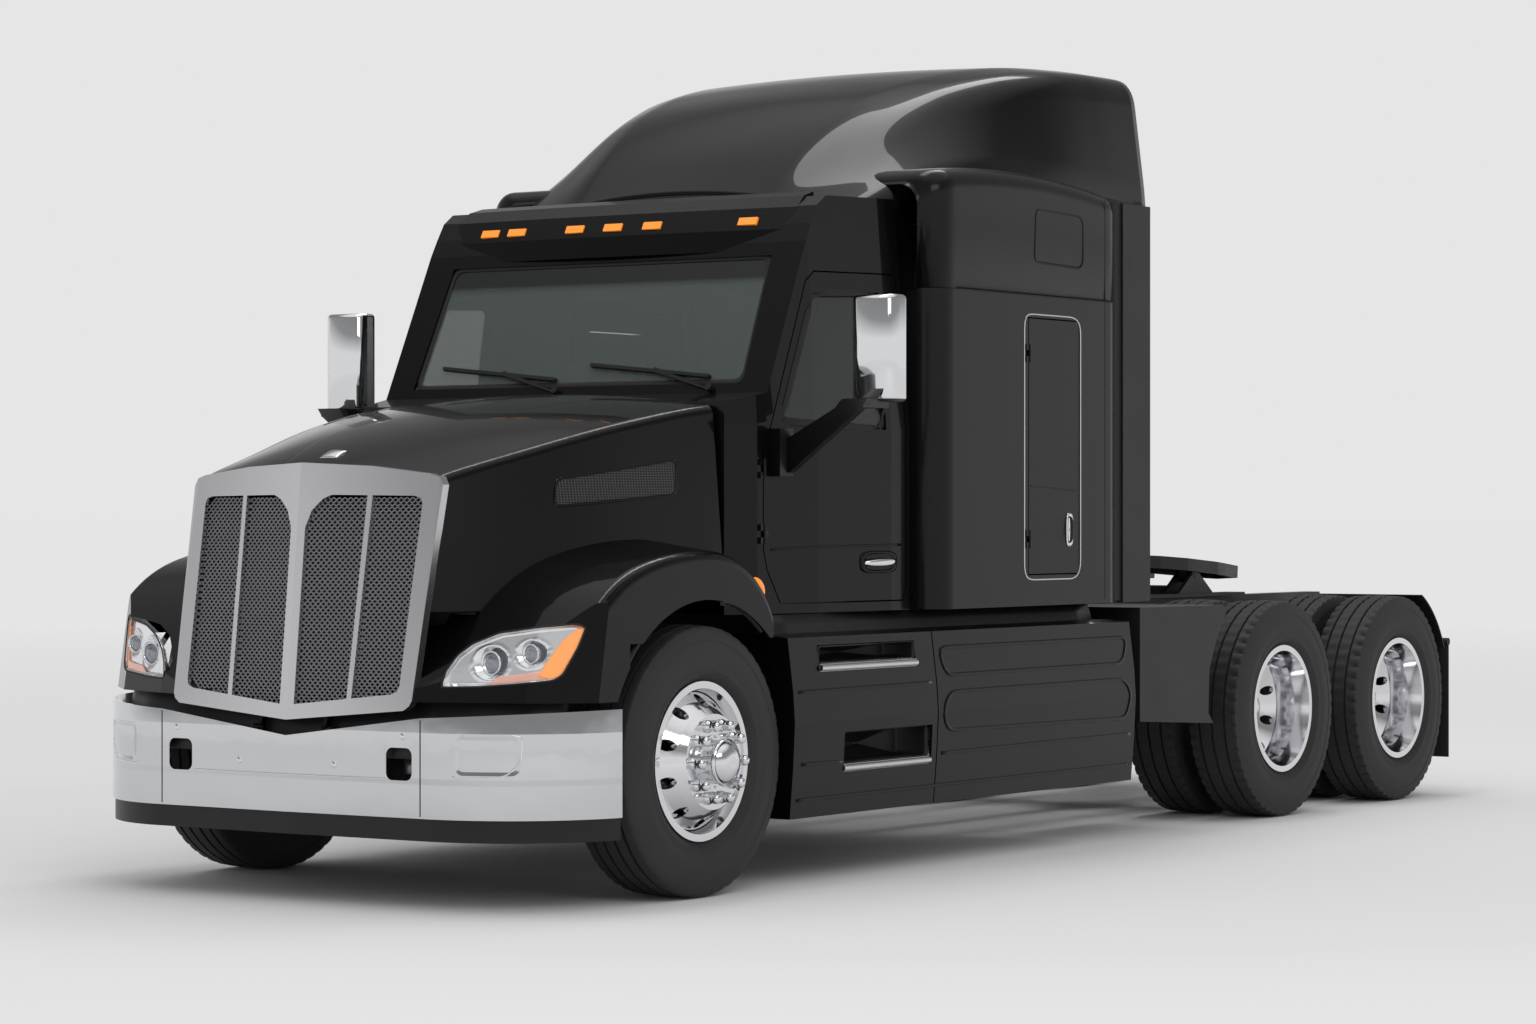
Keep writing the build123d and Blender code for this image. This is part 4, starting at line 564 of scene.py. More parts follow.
# tyres
tyre = {
    "radius": 0.520,
    "crownDrop": 0.006,
    "treadHalf": 0.118,
    "grooveHalf": (0.0045, 0.0065),  # at the bottom and at the top
    "grooveDepth": 0.013,
    "shoulders": (0.092, 0.104),
    "turns": 216,
    "turnsPerLug": 4,
    "waves": 54,
    "cuts": {"slot": 0.010, "sipe": 0.0045, "notch": 0.004},  # depths of the cross cuts
    "steer": {"width": 0.284, "grooves": (-0.078, -0.027, 0.027, 0.078), "lugs": False, "wave": 0.0012},
    "drive": {"width": 0.276, "grooves": (-0.066, 0.0, 0.066), "lugs": True, "wave": 0.0},
    "steerX": 1.055,
    "driveX": 1.078,
    "dualGap": 0.343,
    "driveY": {"front": back(4.805), "rear": back(6.090)},
}


def tyreShape(kind, centreX, centreY, outward):
    # radius as a function of place across and angle: the crown's arc less the grooves and slots
    style = tyre[kind]
    half, tread, top = style["width"] / 2, tyre["treadHalf"], tyre["radius"]
    stations = {sign * place for sign in (-1, 1) for place in (tread, *tyre["shoulders"])}
    for groove in style["grooves"]:
        stations |= {groove + sign * reach for sign in (-1, 1) for reach in tyre["grooveHalf"]}
    x = np.array(sorted(stations))
    depth = np.zeros_like(x)
    for groove in style["grooves"]:
        depth[np.abs(x - groove) < 0.005] = tyre["grooveDepth"]
    crown = top - tyre["crownDrop"] * (x / tread) ** 2
    wall = np.array([  # sidewall outside the tread: place across and radius, then down to the bead
        (tread + 0.004, top - 0.008), (half - 0.012, top - 0.026), (half - 0.008, top - 0.044),
        (half - 0.0045, top - 0.060), (half - 0.0065, top - 0.063), (half - 0.0020, 0.424),
        (half + 0.0, 0.402), (half - 0.0015, 0.380), (half - 0.0065, 0.352), (half - 0.0045, 0.346),
        (half - 0.0110, 0.332), (half - 0.024, 0.318), (0.106, 0.308), (0.104, 0.300),
    ])
    across = np.concatenate([-wall[::-1, 0], x, wall[:, 0]])[:, None]
    radius = np.concatenate([wall[::-1, 1], crown - depth, wall[:, 1]])[:, None]
    angle = np.arange(tyre["turns"]) * (2 * math.pi / tyre["turns"])
    lug = np.arange(tyre["turns"]) % tyre["turnsPerLug"]
    cuts = tyre["cuts"]
    onTread = np.abs(across) <= tread + 0.005
    if style["lugs"]:
        slots = (np.abs(across) >= 0.090) & onTread & (lug == 0)
        sipes = (np.abs(across) < 0.060) & (lug == 2) & (radius > top - 0.009)
        grooved = radius - slots * cuts["slot"] - sipes * cuts["sipe"]
    else:
        notches = (np.abs(across) > 0.11) & onTread & (lug == 0)
        grooved = radius - notches * cuts["notch"]
    shift = np.where(np.abs(across) < 0.09, np.sin(angle * tyre["waves"]) * style["wave"], 0.0)
    px = centreX + outward * (across + shift)
    py = centreY + grooved * np.cos(angle)
    pz = top + grooved * np.sin(angle)
    return grid(np.stack([px, py, pz], -1), closeRows=True, closeColumns=True)


def makeTyre(name, shapes, body, node):
    # the tread's and grooves' edges stay sharp, the sidewall smooth
    made = makePiece(name, shapes, body, "tyre_rubber")
    made.data.set_sharp_from_angle(angle=math.radians(40))
    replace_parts(made, node)


for sideName, side in sides.items():
    makeTyre(f"steerTyre.{sideName}", [tyreShape("steer", side * tyre["steerX"], frontAxleY, side)],
             f"steer_{sideName}_body", f"steer_tyre_{sideName}")
    for axleName, axleY in tyre["driveY"].items():
        places = (tyre["driveX"], tyre["driveX"] - tyre["dualGap"])
        pair = [tyreShape("drive", side * x, axleY, side) for x in places]
        makeTyre(f"driveTyres.{axleName}.{sideName}", pair,
                 f"drive_{axleName}_{sideName}_body", f"drive_tyres_{axleName}_{sideName}")
print("tyres")

# wheel covers
hubLook = {
    "lug": [(-0.002, 0.0), (-0.002, 0.0245), (0.010, 0.0245), (0.013, 0.0205), (0.034, 0.0200),
            (0.048, 0.0190), (0.056, 0.0150), (0.0605, 0.0090), (0.062, 0.0)],
    "band": [(0.040, 0.0845), (0.040, 0.089), (0.046, 0.0905), (0.060, 0.0895), (0.064, 0.0845)],
    "bolt": [(0.0, 0.0), (0.0, 0.0062), (0.004, 0.0058), (0.0065, 0.0030), (0.007, 0.0)],
    "lugCount": 10,
    "lugCircle": 0.143,
    "steerFace": 0.171,  # outside the tyre's middle
    "driveFace": 0.020,  # outside the middle of the pair
    "boltOut": 0.006,
    "steerBolts": (10, 0.096, math.radians(18)),  # count, circle's radius and first angle
    "driveBolts": (8, 0.094),
}


def roundHub(profile, turns, centre, outward, count, radius, start=0.0):
    # copies of one small turned shape, set round a wheel's axis at even angles
    angle = start + np.arange(count) * (2 * math.pi / count)
    places = np.column_stack([0 * angle, np.cos(angle) * radius, np.sin(angle) * radius])
    return copied(turnedSideways(profile, turns, centre, outward), places)


def lugCovers(faceX, wheelY, outward, turns):
    # the covers over one wheel's nuts, on their circle
    centre = (faceX, wheelY, tyre["radius"])
    return roundHub(hubLook["lug"], turns, centre, outward, hubLook["lugCount"], hubLook["lugCircle"])


for sideName, side in sides.items():
    faceX = side * (tyre["steerX"] + hubLook["steerFace"])
    boltAt = (faceX + side * hubLook["boltOut"], frontAxleY, tyre["radius"])
    shapes = [
        lugCovers(faceX, frontAxleY, side, 16),
        turnedSideways(hubLook["band"], 64, (faceX, frontAxleY, tyre["radius"]), side),
        roundHub(hubLook["bolt"], 8, boltAt, side, *hubLook["steerBolts"]),
    ]
    makePiece(f"frontWheelCovers.{sideName}", shapes, f"steer_{sideName}_body", "chrome")
    for axleName, axleY in tyre["driveY"].items():
        faceX = side * (tyre["driveX"] - tyre["dualGap"] / 2 + hubLook["driveFace"])
        boltAt = (faceX + side * hubLook["boltOut"], axleY, tyre["radius"])
        bolts = roundHub(hubLook["bolt"], 8, boltAt, side, *hubLook["driveBolts"])
        shapes = [lugCovers(faceX, axleY, side, 14), bolts]
        wheel = f"drive_{axleName}_{sideName}_body"
        makePiece(f"driveWheelCovers.{axleName}.{sideName}", shapes, wheel, "chrome")
print("wheel covers")

# grille mesh
noseRows = {
    "x": (0.0, 0.600, 0.700, 1.000, 1.205, 1.400),
    "low": (-1.047, -1.044, -1.010, -0.900, -0.720, -0.600),
    "high": (-0.945, -0.845, -0.820, -0.700, -0.520, -0.400),
    "levels": (0.6, 1.7),
}
weave = {
    "levels": (0.752, 1.530), "rowGap": 0.0118, "step": 0.0048,
    "edgeZ": (0.745, 0.796, 0.83, 1.50, 1.529), "edgeX": (0.06, 0.49, 0.526, 0.540, 0.505),
    "pitch": 0.0245, "swing": 0.0040, "wire": (0.0042, 0.0016), "depth": 0.014,
    # half the width, the foot and how it rises outwards, the head, and how far behind the nose
    "screen": {"half": 0.53, "foot": 0.755, "rise": 0.09, "head": 1.52, "depth": 0.021},
}


def noseY(x, z):
    # the nose surface: straight between its low plan and its high plan
    share = (z - noseRows["levels"][0]) / (noseRows["levels"][1] - noseRows["levels"][0])
    low = np.interp(np.abs(x), noseRows["x"], noseRows["low"])
    high = np.interp(np.abs(x), noseRows["x"], noseRows["high"])
    return back(low + (high - low) * share)


def wovenPanel():
    # rows of waving wires, each out of step with the next by half a wave, so that they part into holes
    shapes = []
    for number, level in enumerate(np.arange(*weave["levels"], weave["rowGap"])):
        halfWide = np.interp(level, weave["edgeZ"], weave["edgeX"])
        x = np.arange(-halfWide, halfWide, weave["step"])
        z = level + weave["swing"] * np.cos(x * (2 * math.pi / weave["pitch"]) + math.pi * (number % 2))
        centre = np.column_stack([x, noseY(x, z) + weave["depth"], z])
        lean = np.tile([0.0, -1.0, 0.1], (len(x), 1))
        shapes.append(strip(centre, lean, *weave["wire"], sink=0.0012))
    return shapes


def darkSheet():
    # a dark screen some way behind the weave, following the same nose surface
    screen = weave["screen"]
    u, v = np.meshgrid(np.linspace(-screen["half"], screen["half"], 25), np.linspace(0, 1, 9))
    low = screen["foot"] + np.abs(u) * screen["rise"]
    z = low + v * (screen["head"] - low)
    return grid(np.stack([u, noseY(u, z) + screen["depth"], z], -1))


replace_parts(makePiece("grilleWeave", wovenPanel(), "hood_tilt_body", "mesh_silver"), "grille_mesh")
makeSheet("grilleScreen", [darkSheet()], 0.002, "hood_tilt_body", "black_plastic", offset=1.0)
print("grille weave")

# headlights
lampLook = {
    "top": [(0.687, 0.825), (0.702, 0.889), (0.736, 0.944), (0.787, 0.987), (0.880, 1.027), (1.017, 1.048),
            (1.120, 1.059), (1.143, 1.046)],
    "bottom": [(0.687, 0.825), (0.831, 0.829), (0.972, 0.841), (1.068, 0.852), (1.093, 0.873),
               (1.127, 0.973), (1.143, 1.046)],
    "span": (0.690, 1.141),
    "bowls": ((0.846, 0.915, 0.062), (0.985, 0.950, 0.050)),  # x, z and radius
    "amber": ([(1.058, 0.858), (1.085, 0.870), (1.122, 0.975), (1.134, 1.040)],
              [(1.018, 0.868), (1.045, 0.930), (1.078, 1.000), (1.118, 1.044)]),
    "peach": ([(0.845, 0.836), (0.930, 0.843), (1.050, 0.857)],
              [(0.888, 0.868), (0.950, 0.874), (1.024, 0.886)]),
    # forward of the bowl's floor, and radius as a share of the bowl's
    "ring": [(0.018, 0.70), (0.026, 0.74), (0.026, 0.64), (0.010, 0.58), (0.004, 0.60), (0.018, 0.70)],
    "globe": [(0.004, 0.62), (0.012, 0.60), (0.021, 0.46), (0.026, 0.26), (0.028, 0.0)],
    "floor": 0.045,
    "wall": 0.0015,
    # depth behind the lens at the rim and inside it, the slope between them, the bowl's own and its lip's
    "rim": 0.004, "inside": 0.020, "slope": 0.012, "bowl": 0.028, "lip": 0.005,
}
reflector = grained("lampReflector", (0.86, 0.87, 0.89), (30.0, 3.0, 0.1, 0.12), 1.0)
darkGlass = grained("projectorGlass", (0.20, 0.22, 0.25), (60.0, 4.0, 0.04, 0.03), 0.6, coat=1.0)
amberCup = lampCup("amberCup", (0.95, 0.30, 0.02), 0.3, emission=(0.95, 0.28, 0.01), glow=0.25)
peachCup = lampCup("peachCup", (0.78, 0.38, 0.28), 0.35)


def lampSheet(side, columns=61, rows=41):
    # x runs along the lamp and z between its edges; a bowl's depth falls with the square of the distance from
    # its middle, and its lip is a bell curve
    s, t = np.meshgrid(np.linspace(0.0, 1.0, columns), np.linspace(0.0, 1.0, rows))
    x = lampLook["span"][0] + s * (lampLook["span"][1] - lampLook["span"][0])
    low = np.interp(x, *zip(*lampLook["bottom"]))
    high = np.interp(x, *zip(*lampLook["top"]))
    z = low + t * (high - low)
    edge = np.minimum(np.minimum(t, 1 - t) * (high - low), np.minimum(s, 1 - s) * 0.45)
    depth = lampLook["rim"] + lampLook["inside"] * np.clip(edge / lampLook["slope"], 0, 1)
    for cx, cz, radius in lampLook["bowls"]:
        away = np.hypot(x - cx, z - cz) / radius
        depth += lampLook["bowl"] * np.maximum(1 - away ** 2, 0.0)
        depth -= lampLook["lip"] * np.exp(-((away - 1.04) / 0.05) ** 2)
    return grid(np.stack([side * x, noseY(x, z) + depth, z], -1))


def lampPatch(side, edges, depth, columns=9, rows=17):
    # a four-sided patch between two edges, laid the given depth behind the lens
    s = np.linspace(0, 1, rows)
    lower, upper = [np.stack([np.interp(s, np.linspace(0, 1, len(edge)), axis) for axis in zip(*edge)], -1)
                    for edge in edges]
    x, z = np.moveaxis(lower + np.linspace(0, 1, columns)[:, None, None] * (upper - lower), -1, 0)
    return grid(np.stack([side * x, noseY(x, z) + depth, z], -1))


def facingRing(side, bowl, profile):
    # a profile turned about a level axis that points ahead from the bowl's floor
    x, z, radius = bowl
    centre = (side * x, noseY(x, z) + lampLook["floor"], z)
    sized = np.maximum(np.array(profile) * (1, radius), 0.0003)
    return turned(sized, centre, (0, -1, 0), (1, 0, 0), (0, 0, 1), 36)


for sideName, side in sides.items():
    ride = "hood_tilt_body"
    for name, shape, look in (("lampBowls", lampSheet(side), reflector),
                              ("lampAmber", lampPatch(side, lampLook["amber"], 0.010), amberCup),
                              ("lampPeach", lampPatch(side, lampLook["peach"], 0.012), peachCup)):
        makeSheet(f"{name}.{sideName}", [shape], lampLook["wall"], ride, "lens_clear", look)
    rings = [facingRing(side, bowl, lampLook["ring"]) for bowl in lampLook["bowls"]]
    globes = [facingRing(side, bowl, lampLook["globe"]) for bowl in lampLook["bowls"]]
    makePiece(f"lampRings.{sideName}", rings, ride, "chrome")
    makeSheet(f"lampGlobes.{sideName}", globes, 0.001, ride, "lens_clear", darkGlass)
    rim = divided(roundedLoop(lampLook["top"] + lampLook["bottom"][-2:0:-1], 0.010, 3), 0.012, True)
    centre = np.column_stack([side * rim[:, 0], noseY(rim[:, 0], rim[:, 1]), rim[:, 1]])
    ahead = np.tile([side * 0.5, -0.85, 0.1], (len(rim), 1))
    makePiece(f"lampSeal.{sideName}", [strip(centre, ahead, 0.007, 0.0022, True)], ride, "rubber")
print("headlights")

# bumper fittings
bumperLook = {
    "seam": [(0.640, 0.352), (0.640, 0.706)],
    "panel": [(0.775, 0.497), (0.965, 0.506), (1.012, 0.560), (1.014, 0.655), (0.800, 0.652)],
    "crease": [(-0.47, 0.487), (-0.30, 0.485), (0.30, 0.485), (0.47, 0.487)],
    "bolts": [(0.560, 0.645), (0.235, 0.530)],
    "boltHead": [(-0.0005, 0.0), (-0.0005, 0.013), (0.0015, 0.0125), (0.0042, 0.0085), (0.0054, 0.0002)],
    # x and behind the front axle, for the black panel inside the bumper, partly the black valance and partly
    # painted shade in the gap under the nose
    "backPlan": [(0.0, -1.020), (0.64, -1.006), (0.84, -0.965), (1.01, -0.878), (1.09, -0.800)],
    "backZ": (0.560, 0.815),
}


def facingStud(x, z):
    # a small turned stud standing square off the front surface
    where, lean = onFront(["bumper"], [x], [z])
    axis = unit(lean[0])
    first = unit(np.cross(axis, (0, 0, 1)))
    return turned(bumperLook["boltHead"], where[0], axis, first, np.cross(axis, first), 18)


def noseValanceAndShade():
    # the bumper's plan set back and carried from its middle up behind the nose; the black sheet is partly the
    # valance and partly painted shade in the gap
    half = np.array(bumperLook["backPlan"])
    plan = divided(np.vstack([half[::-1] * (-1, 1), half[1:]]), 0.04)
    z = np.linspace(*bumperLook["backZ"], 6)[:, None]
    lean = (z - bumperLook["backZ"][0]) * 0.40
    x = plan[:, 0] * (1 - lean * 0.10)
    y = back(plan[:, 1]) + lean
    return grid(np.stack([x, y, z + 0 * x], -1))


panelLine = roundedLoop(bumperLook["panel"], 0.022)[2:-4]
seams, rims, studs = [], [], []
for side in sides.values():
    seams.append(frontSeam(["bumper"], np.array(bumperLook["seam"]) * (side, 1), 0.0045))
    rims.append(frontSeam(["bumper"], panelLine * (side, 1), 0.005, 0.0022))
    studs += [facingStud(side * x, z) for x, z in bumperLook["bolts"]]
rims.append(frontSeam(["bumper"], bumperLook["crease"], 0.005, 0.0020))
makePiece("bumperSeams", seams, "chassis", "rubber")
makePiece("bumperPressings", rims, "chassis", "chrome")
makePiece("bumperBolts", studs, "chassis", "chrome")
# black panel behind the bumper: partly the valance, partly painted shade under the nose
makeSheet("noseValanceAndShade", [noseValanceAndShade()], 0.004, "chassis", "black_plastic", offset=1.0)
print("bumper fittings")

# bonnet fittings
bonnetLook = {
    "vent": [(-0.343, 1.592), (0.255, 1.672), (0.242, 1.535), (-0.366, 1.489)],
    "ventLift": 0.0016,
    "marker": {"span": (0.345, 0.418), "level": 1.17, "above": 1.9, "inset": 0.030, "halfWide": 0.016,
               "proud": 0.024},
    "latch": {"behind": -0.775, "above": 2.4, "half": (0.042, 0.032), "rise": 0.012},
}


def ventPanel(side, rows=9, columns=41):
    # a panel between the outline's four corners, laid on the bonnet's flank
    a, b, c, d = np.array(bonnetLook["vent"])
    t = np.linspace(0, 1, rows)[:, None, None]
    s = np.linspace(0, 1, columns)[None, :, None]
    flat = ((a * (1 - s) + b * s) * (1 - t) + (d * (1 - s) + c * s) * t).reshape(-1, 2)
    where, lean = onFlank(["hood"], side, *flat.T)
    return grid((where + lean * bonnetLook["ventLift"]).reshape(rows, columns, 3))


def fenderLens(side, look, stations=21):
    # a long lens on the fender's rear slope: an oval whose size follows the square root of a sine along it
    flank, lean = onFlank(["hood"], side, np.array(look["span"][:1]), [look["level"]])
    t = np.linspace(0.0, 1.0, stations)
    y = back(look["span"][0] + (look["span"][1] - look["span"][0]) * t)
    x = flank[0, 0] - side * look["inset"] + 0 * y
    where, lean = laidOn(["hood"], np.column_stack([x, y, look["above"] + 0 * y]), (0, 0, -1))
    lean = np.tile(unit(lean.mean(axis=0)), (stations, 1))
    across = unit(np.cross(np.gradient(where, axis=0), lean))
    size = np.sin(math.pi * np.clip(t, 0.004, 0.996))[:, None] ** 0.5
    return swept(where, across * look["halfWide"] * size, lean * look["proud"] * size, 14)


def latchPlate(look):
    # a small plate on the bonnet's crown, a low dome of two cosines
    u, v = np.meshgrid(np.linspace(-1, 1, 15), np.linspace(-1, 1, 13))
    (halfWide, halfLong), middle = look["half"], back(look["behind"])
    above = np.stack([u * halfWide, middle + v * halfLong, look["above"] + 0 * u], -1)
    where, lean = laidOn(["hood"], above.reshape(-1, 3), (0, 0, -1))
    rise = look["rise"] * np.cos(u * math.pi / 2) ** 0.5 * np.cos(v * math.pi / 2) ** 0.5
    return grid(where.reshape(above.shape) + np.array([0, 0, 1]) * rise[..., None])


ventMesh = ventSteel()
for sideName, side in sides.items():
    ride = "hood_tilt_body"
    makeSheet(f"bonnetVent.{sideName}", [ventPanel(side)], 0.002, ride, "black_plastic", ventMesh)
    frameLine = sideSeam(["hood"], bonnetLook["vent"], side, 0.011, 0.0040, 0.015, radius=0.03)
    makePiece(f"bonnetVentFrame.{sideName}", [frameLine], ride, "body_black", ownFinishes["hood"])
    makePiece(f"fenderMarker.{sideName}", [fenderLens(side, bonnetLook["marker"])], ride, "lens_amber")
makeSheet("bonnetLatch", [latchPlate(bonnetLook["latch"])], 0.0015, "hood_tilt_body", "chrome")
print("bonnet fittings")

# glass seals and flank lines
flank = {
    "windshield": [(0.846, 1.989), (0.823, 2.506), (-0.823, 2.506), (-0.846, 1.989)],
    "window": [(0.785, 1.832), (1.022, 2.354), (1.453, 2.373), (1.446, 1.805)],
    "belt": [(0.72, 1.318), (0.95, 1.326), (1.55, 1.332)],
    "luggage": [(2.352, 1.205), (2.352, 2.285), (2.375, 2.320), (2.780, 2.320), (2.835, 2.290),
                (2.835, 1.215), (2.790, 1.175), (2.385, 1.175)],
    "luggageSplit": [(2.400, 1.580), (2.812, 1.560)],
    "smallWindow": [(2.440, 2.545), (2.452, 2.775), (2.835, 2.765), (2.860, 2.735), (2.860, 2.560),
                    (2.835, 2.535)],
    "sleeperSeam": [(1.80, 2.400), (3.205, 2.400)],
    "sleeperPost": [(3.055, 1.08), (3.055, 2.86)],
}
windshieldLine = roundedLoop(flank["windshield"], 0.05)
windshieldSeal = frontSeam(["cab_shell", "windshield"], windshieldLine, 0.026, 0.0060, 0.03, True)
makePiece("windshieldSeal", [windshieldSeal], "chassis", "rubber")
for sideName, side in sides.items():
    door, luggage = f"door_{sideName}", f"luggage_door_{sideName}"
    seal = sideSeam([door, f"door_glass_{sideName}"], flank["window"], side, 0.030, 0.0050, radius=0.06)
    makePiece(f"windowSeal.{sideName}", [seal], f"{door}_body", "rubber")
    crease = sideSeam([door], flank["belt"], side, 0.010, 0.0030)
    makePiece(f"doorCrease.{sideName}", [crease], f"{door}_body", "body_black")
    shell = ["sleeper_shell", luggage]
    trim = sideSeam(shell, flank["luggage"], side, 0.007, 0.0030, 0.02, radius=0.05)
    makePiece(f"luggageTrim.{sideName}", [trim], "chassis", "satin_silver")
    split = sideSeam(shell, flank["luggageSplit"], side, 0.0050, 0.0016, 0.02)
    makePiece(f"luggageSplit.{sideName}", [split], f"luggage_{sideName}_body", "rubber")
    roof = ["sleeper_shell", "roof_fairing"]
    lines = [sideSeam(roof, flank["smallWindow"], side, 0.008, 0.0030, 0.02, radius=0.03),
             sideSeam(roof, flank["sleeperSeam"], side, 0.006, 0.0012),
             sideSeam(roof, flank["sleeperPost"], side, 0.006, 0.0012)]
    makePiece(f"sleeperLines.{sideName}", lines, "chassis", "rubber")
print("seals and flank lines")

# door and locker handles
handleCupPaint = glossPaint("handleCup", (0.0015, 0.0015, 0.0015), peel=False).material
handleLook = {
    "squareness": 0.55,
    "rim": (0.0008, 0.0075, 0.90, 0.07),  # lift, height, and its middle and spread as shares of the cup
    "door": {
        "node": "door_", "body": "door_", "place": (1.395, 1.262),
        "cup": ("handleCup", "body_black", handleCupPaint, 0.125, 0.046),
        "bar": ("doorHandle", "chrome", (-0.095, -0.004), (0.100, 0.002), 0.030, 0.026),
    },
    "locker": {
        "node": "luggage_door_", "body": "luggage_", "place": (2.735, 1.390),
        "cup": ("lockerCup", "chrome", None, 0.028, 0.075),
        "bar": ("lockerHandle", "black_plastic", (0.0, -0.055), (0.0, 0.055), 0.026, 0.012),
    },
}


def ovalCup(node, side, place, halfLong, halfHigh, rows=9, turns=44):
    # a raised rim round a flat middle: its height is a bell curve of the distance from the middle
    share = np.linspace(0.02, 1.0, rows)[:, None]
    angle = np.arange(turns) * (2 * math.pi / turns)
    y = place[0] + share * halfLong * signedPower(np.cos(angle), handleLook["squareness"])
    z = place[1] + share * halfHigh * signedPower(np.sin(angle), handleLook["squareness"])
    where, lean = onFlank([node], side, y.ravel(), z.ravel())
    floor, rim, middle, spread = handleLook["rim"]
    rise = floor + rim * np.exp(-((share - middle) / spread) ** 2) + 0 * angle
    return grid((where + lean * rise.reshape(-1, 1)).reshape(rows, turns, 3), closeColumns=True)


def handleBar(node, side, start, end, height, standOff, stations=25, halfThick=0.007):
    # a flattened oval section carried along a low arch: off the panel by a sine, thinner at both ends
    t = np.linspace(0, 1, stations)
    flat = np.array(start) + t[:, None] * (np.array(end) - np.array(start))
    where, lean = onFlank([node], side, *flat.T)
    centre = where + np.array([side, 0, 0]) * (0.004 + standOff * np.sin(math.pi * t) ** 0.35)[:, None]
    ahead = unit(np.gradient(centre, axis=0))
    across = unit(np.cross(ahead, (side, 0.0, 0.0)))
    size = (0.35 + 0.65 * np.sin(math.pi * np.clip(t, 0.01, 0.99)) ** 0.4)[:, None]
    return swept(centre, across * (height / 2) * size, np.cross(across, ahead) * halfThick * size, 14)


for sideName, side in sides.items():
    for look in (handleLook["door"], handleLook["locker"]):
        node, body = look["node"] + sideName, f"{look['body']}{sideName}_body"
        y, z = look["place"]
        name, slotName, finish, *half = look["cup"]
        makeSheet(f"{name}.{sideName}", [ovalCup(node, side, (y, z), *half)], 0.001, body, slotName, finish)
        name, slotName, start, end, *size = look["bar"]
        bar = handleBar(node, side, (y + start[0], z + start[1]), (y + end[0], z + end[1]), *size)
        makePiece(f"{name}.{sideName}", [bar], body, slotName)
print("handles")

# fairing pressings and steps
fairing = {
    "panels": [
        [(1.66, 0.905), (1.70, 0.790), (3.20, 0.790), (3.26, 0.905)],
        [(1.66, 0.640), (1.70, 0.560), (3.22, 0.545), (3.26, 0.660), (3.20, 0.720), (1.72, 0.720)],
    ],
    "lines": [[(0.60, 0.760), (0.90, 0.762), (1.58, 0.764)], [(0.62, 0.475), (0.80, 0.474), (0.91, 0.472)],
              [(1.66, 0.468), (2.40, 0.470), (3.26, 0.472)], [(0.60, 0.335), (3.27, 0.335)]],
    # from and to behind the front axle, z of the tread, and the well's lower and upper z
    "steps": [(0.764, 1.476, 0.850, 0.866, 0.936), (0.924, 1.576, 0.445, 0.462, 0.586)],
    "nosing": (1.203, 0.0135),  # x and radius
    "studX": (1.035, 1.19),
    "studPitch": 0.030,
    "studRise": 0.0152,
    "stud": [(0.0, 0.0105), (0.0030, 0.0095), (0.0040, 0.0075), (0.0030, 0.0058), (0.0, 0.0050)],
    "wellX": 1.196,
    "well": ((0.0, 1.0), (0.02, 0.995), (0.140, 0.975), (0.150, 0.93), (0.150, 0.02)),  # inwards, share
    # behind the front axle, z, and x at the foot and at the head, for the black sheet of painted shade over
    # the fairings
    "sill": {"y": (0.62, 3.18), "z": (0.940, 1.058), "x": (1.075, 1.035)},
}


def stepNosing(side, y0, y1, z, stations=9):
    # a rolled front lip along a tread: a round bar carried straight
    x, radius = fairing["nosing"]
    y = np.linspace(back(y0), back(y1), stations)
    return tube(np.column_stack([np.full(stations, side * x), y, np.full(stations, z)]), radius, 14)


def gripStuds(side, y0, y1, z):
    # raised rings set on a grid along the tread's top
    pitch = fairing["studPitch"]
    across = side * np.arange(*fairing["studX"], pitch)
    x, y = np.meshgrid(across, np.arange(back(y0) + pitch, back(y1) - 0.02, pitch))
    ring = turned(fairing["stud"], (0, 0, 0), (0, 0, 1), (1, 0, 0), (0, 1, 0), 10)
    return copied(ring, np.column_stack([x.ravel(), y.ravel(), np.full(x.size, z)]))


def stepWell(side, y0, y1, z0, z1):
    # a tray pressed in from the opening: rounded loops that shrink and go inwards, closed at the middle
    loop = roundedLoop([(y0, z0), (y1, z0), (y1, z1), (y0, z1)], 0.02)
    centre = loop.mean(axis=0)
    layers = []
    for inward, share in fairing["well"]:
        y, z = (centre + (loop - centre) * share).T
        layers.append(np.column_stack([np.full(len(y), side * (fairing["wellX"] - inward)), back(y), z]))
    return grid(np.stack(layers), closeColumns=True)


def sillShadeSheet(side):
    # a black sheet of painted shade over the fairings, in the gap under the sleeper, leaning in towards its
    # top
    sill = fairing["sill"]
    y = np.linspace(*sill["y"], 20)[None, :]
    z, x = np.linspace(*sill["z"], 4)[:, None], side * np.linspace(*sill["x"], 4)[:, None]
    return grid(np.stack([x + 0 * y, back(y) + 0 * z, z + 0 * y], -1))


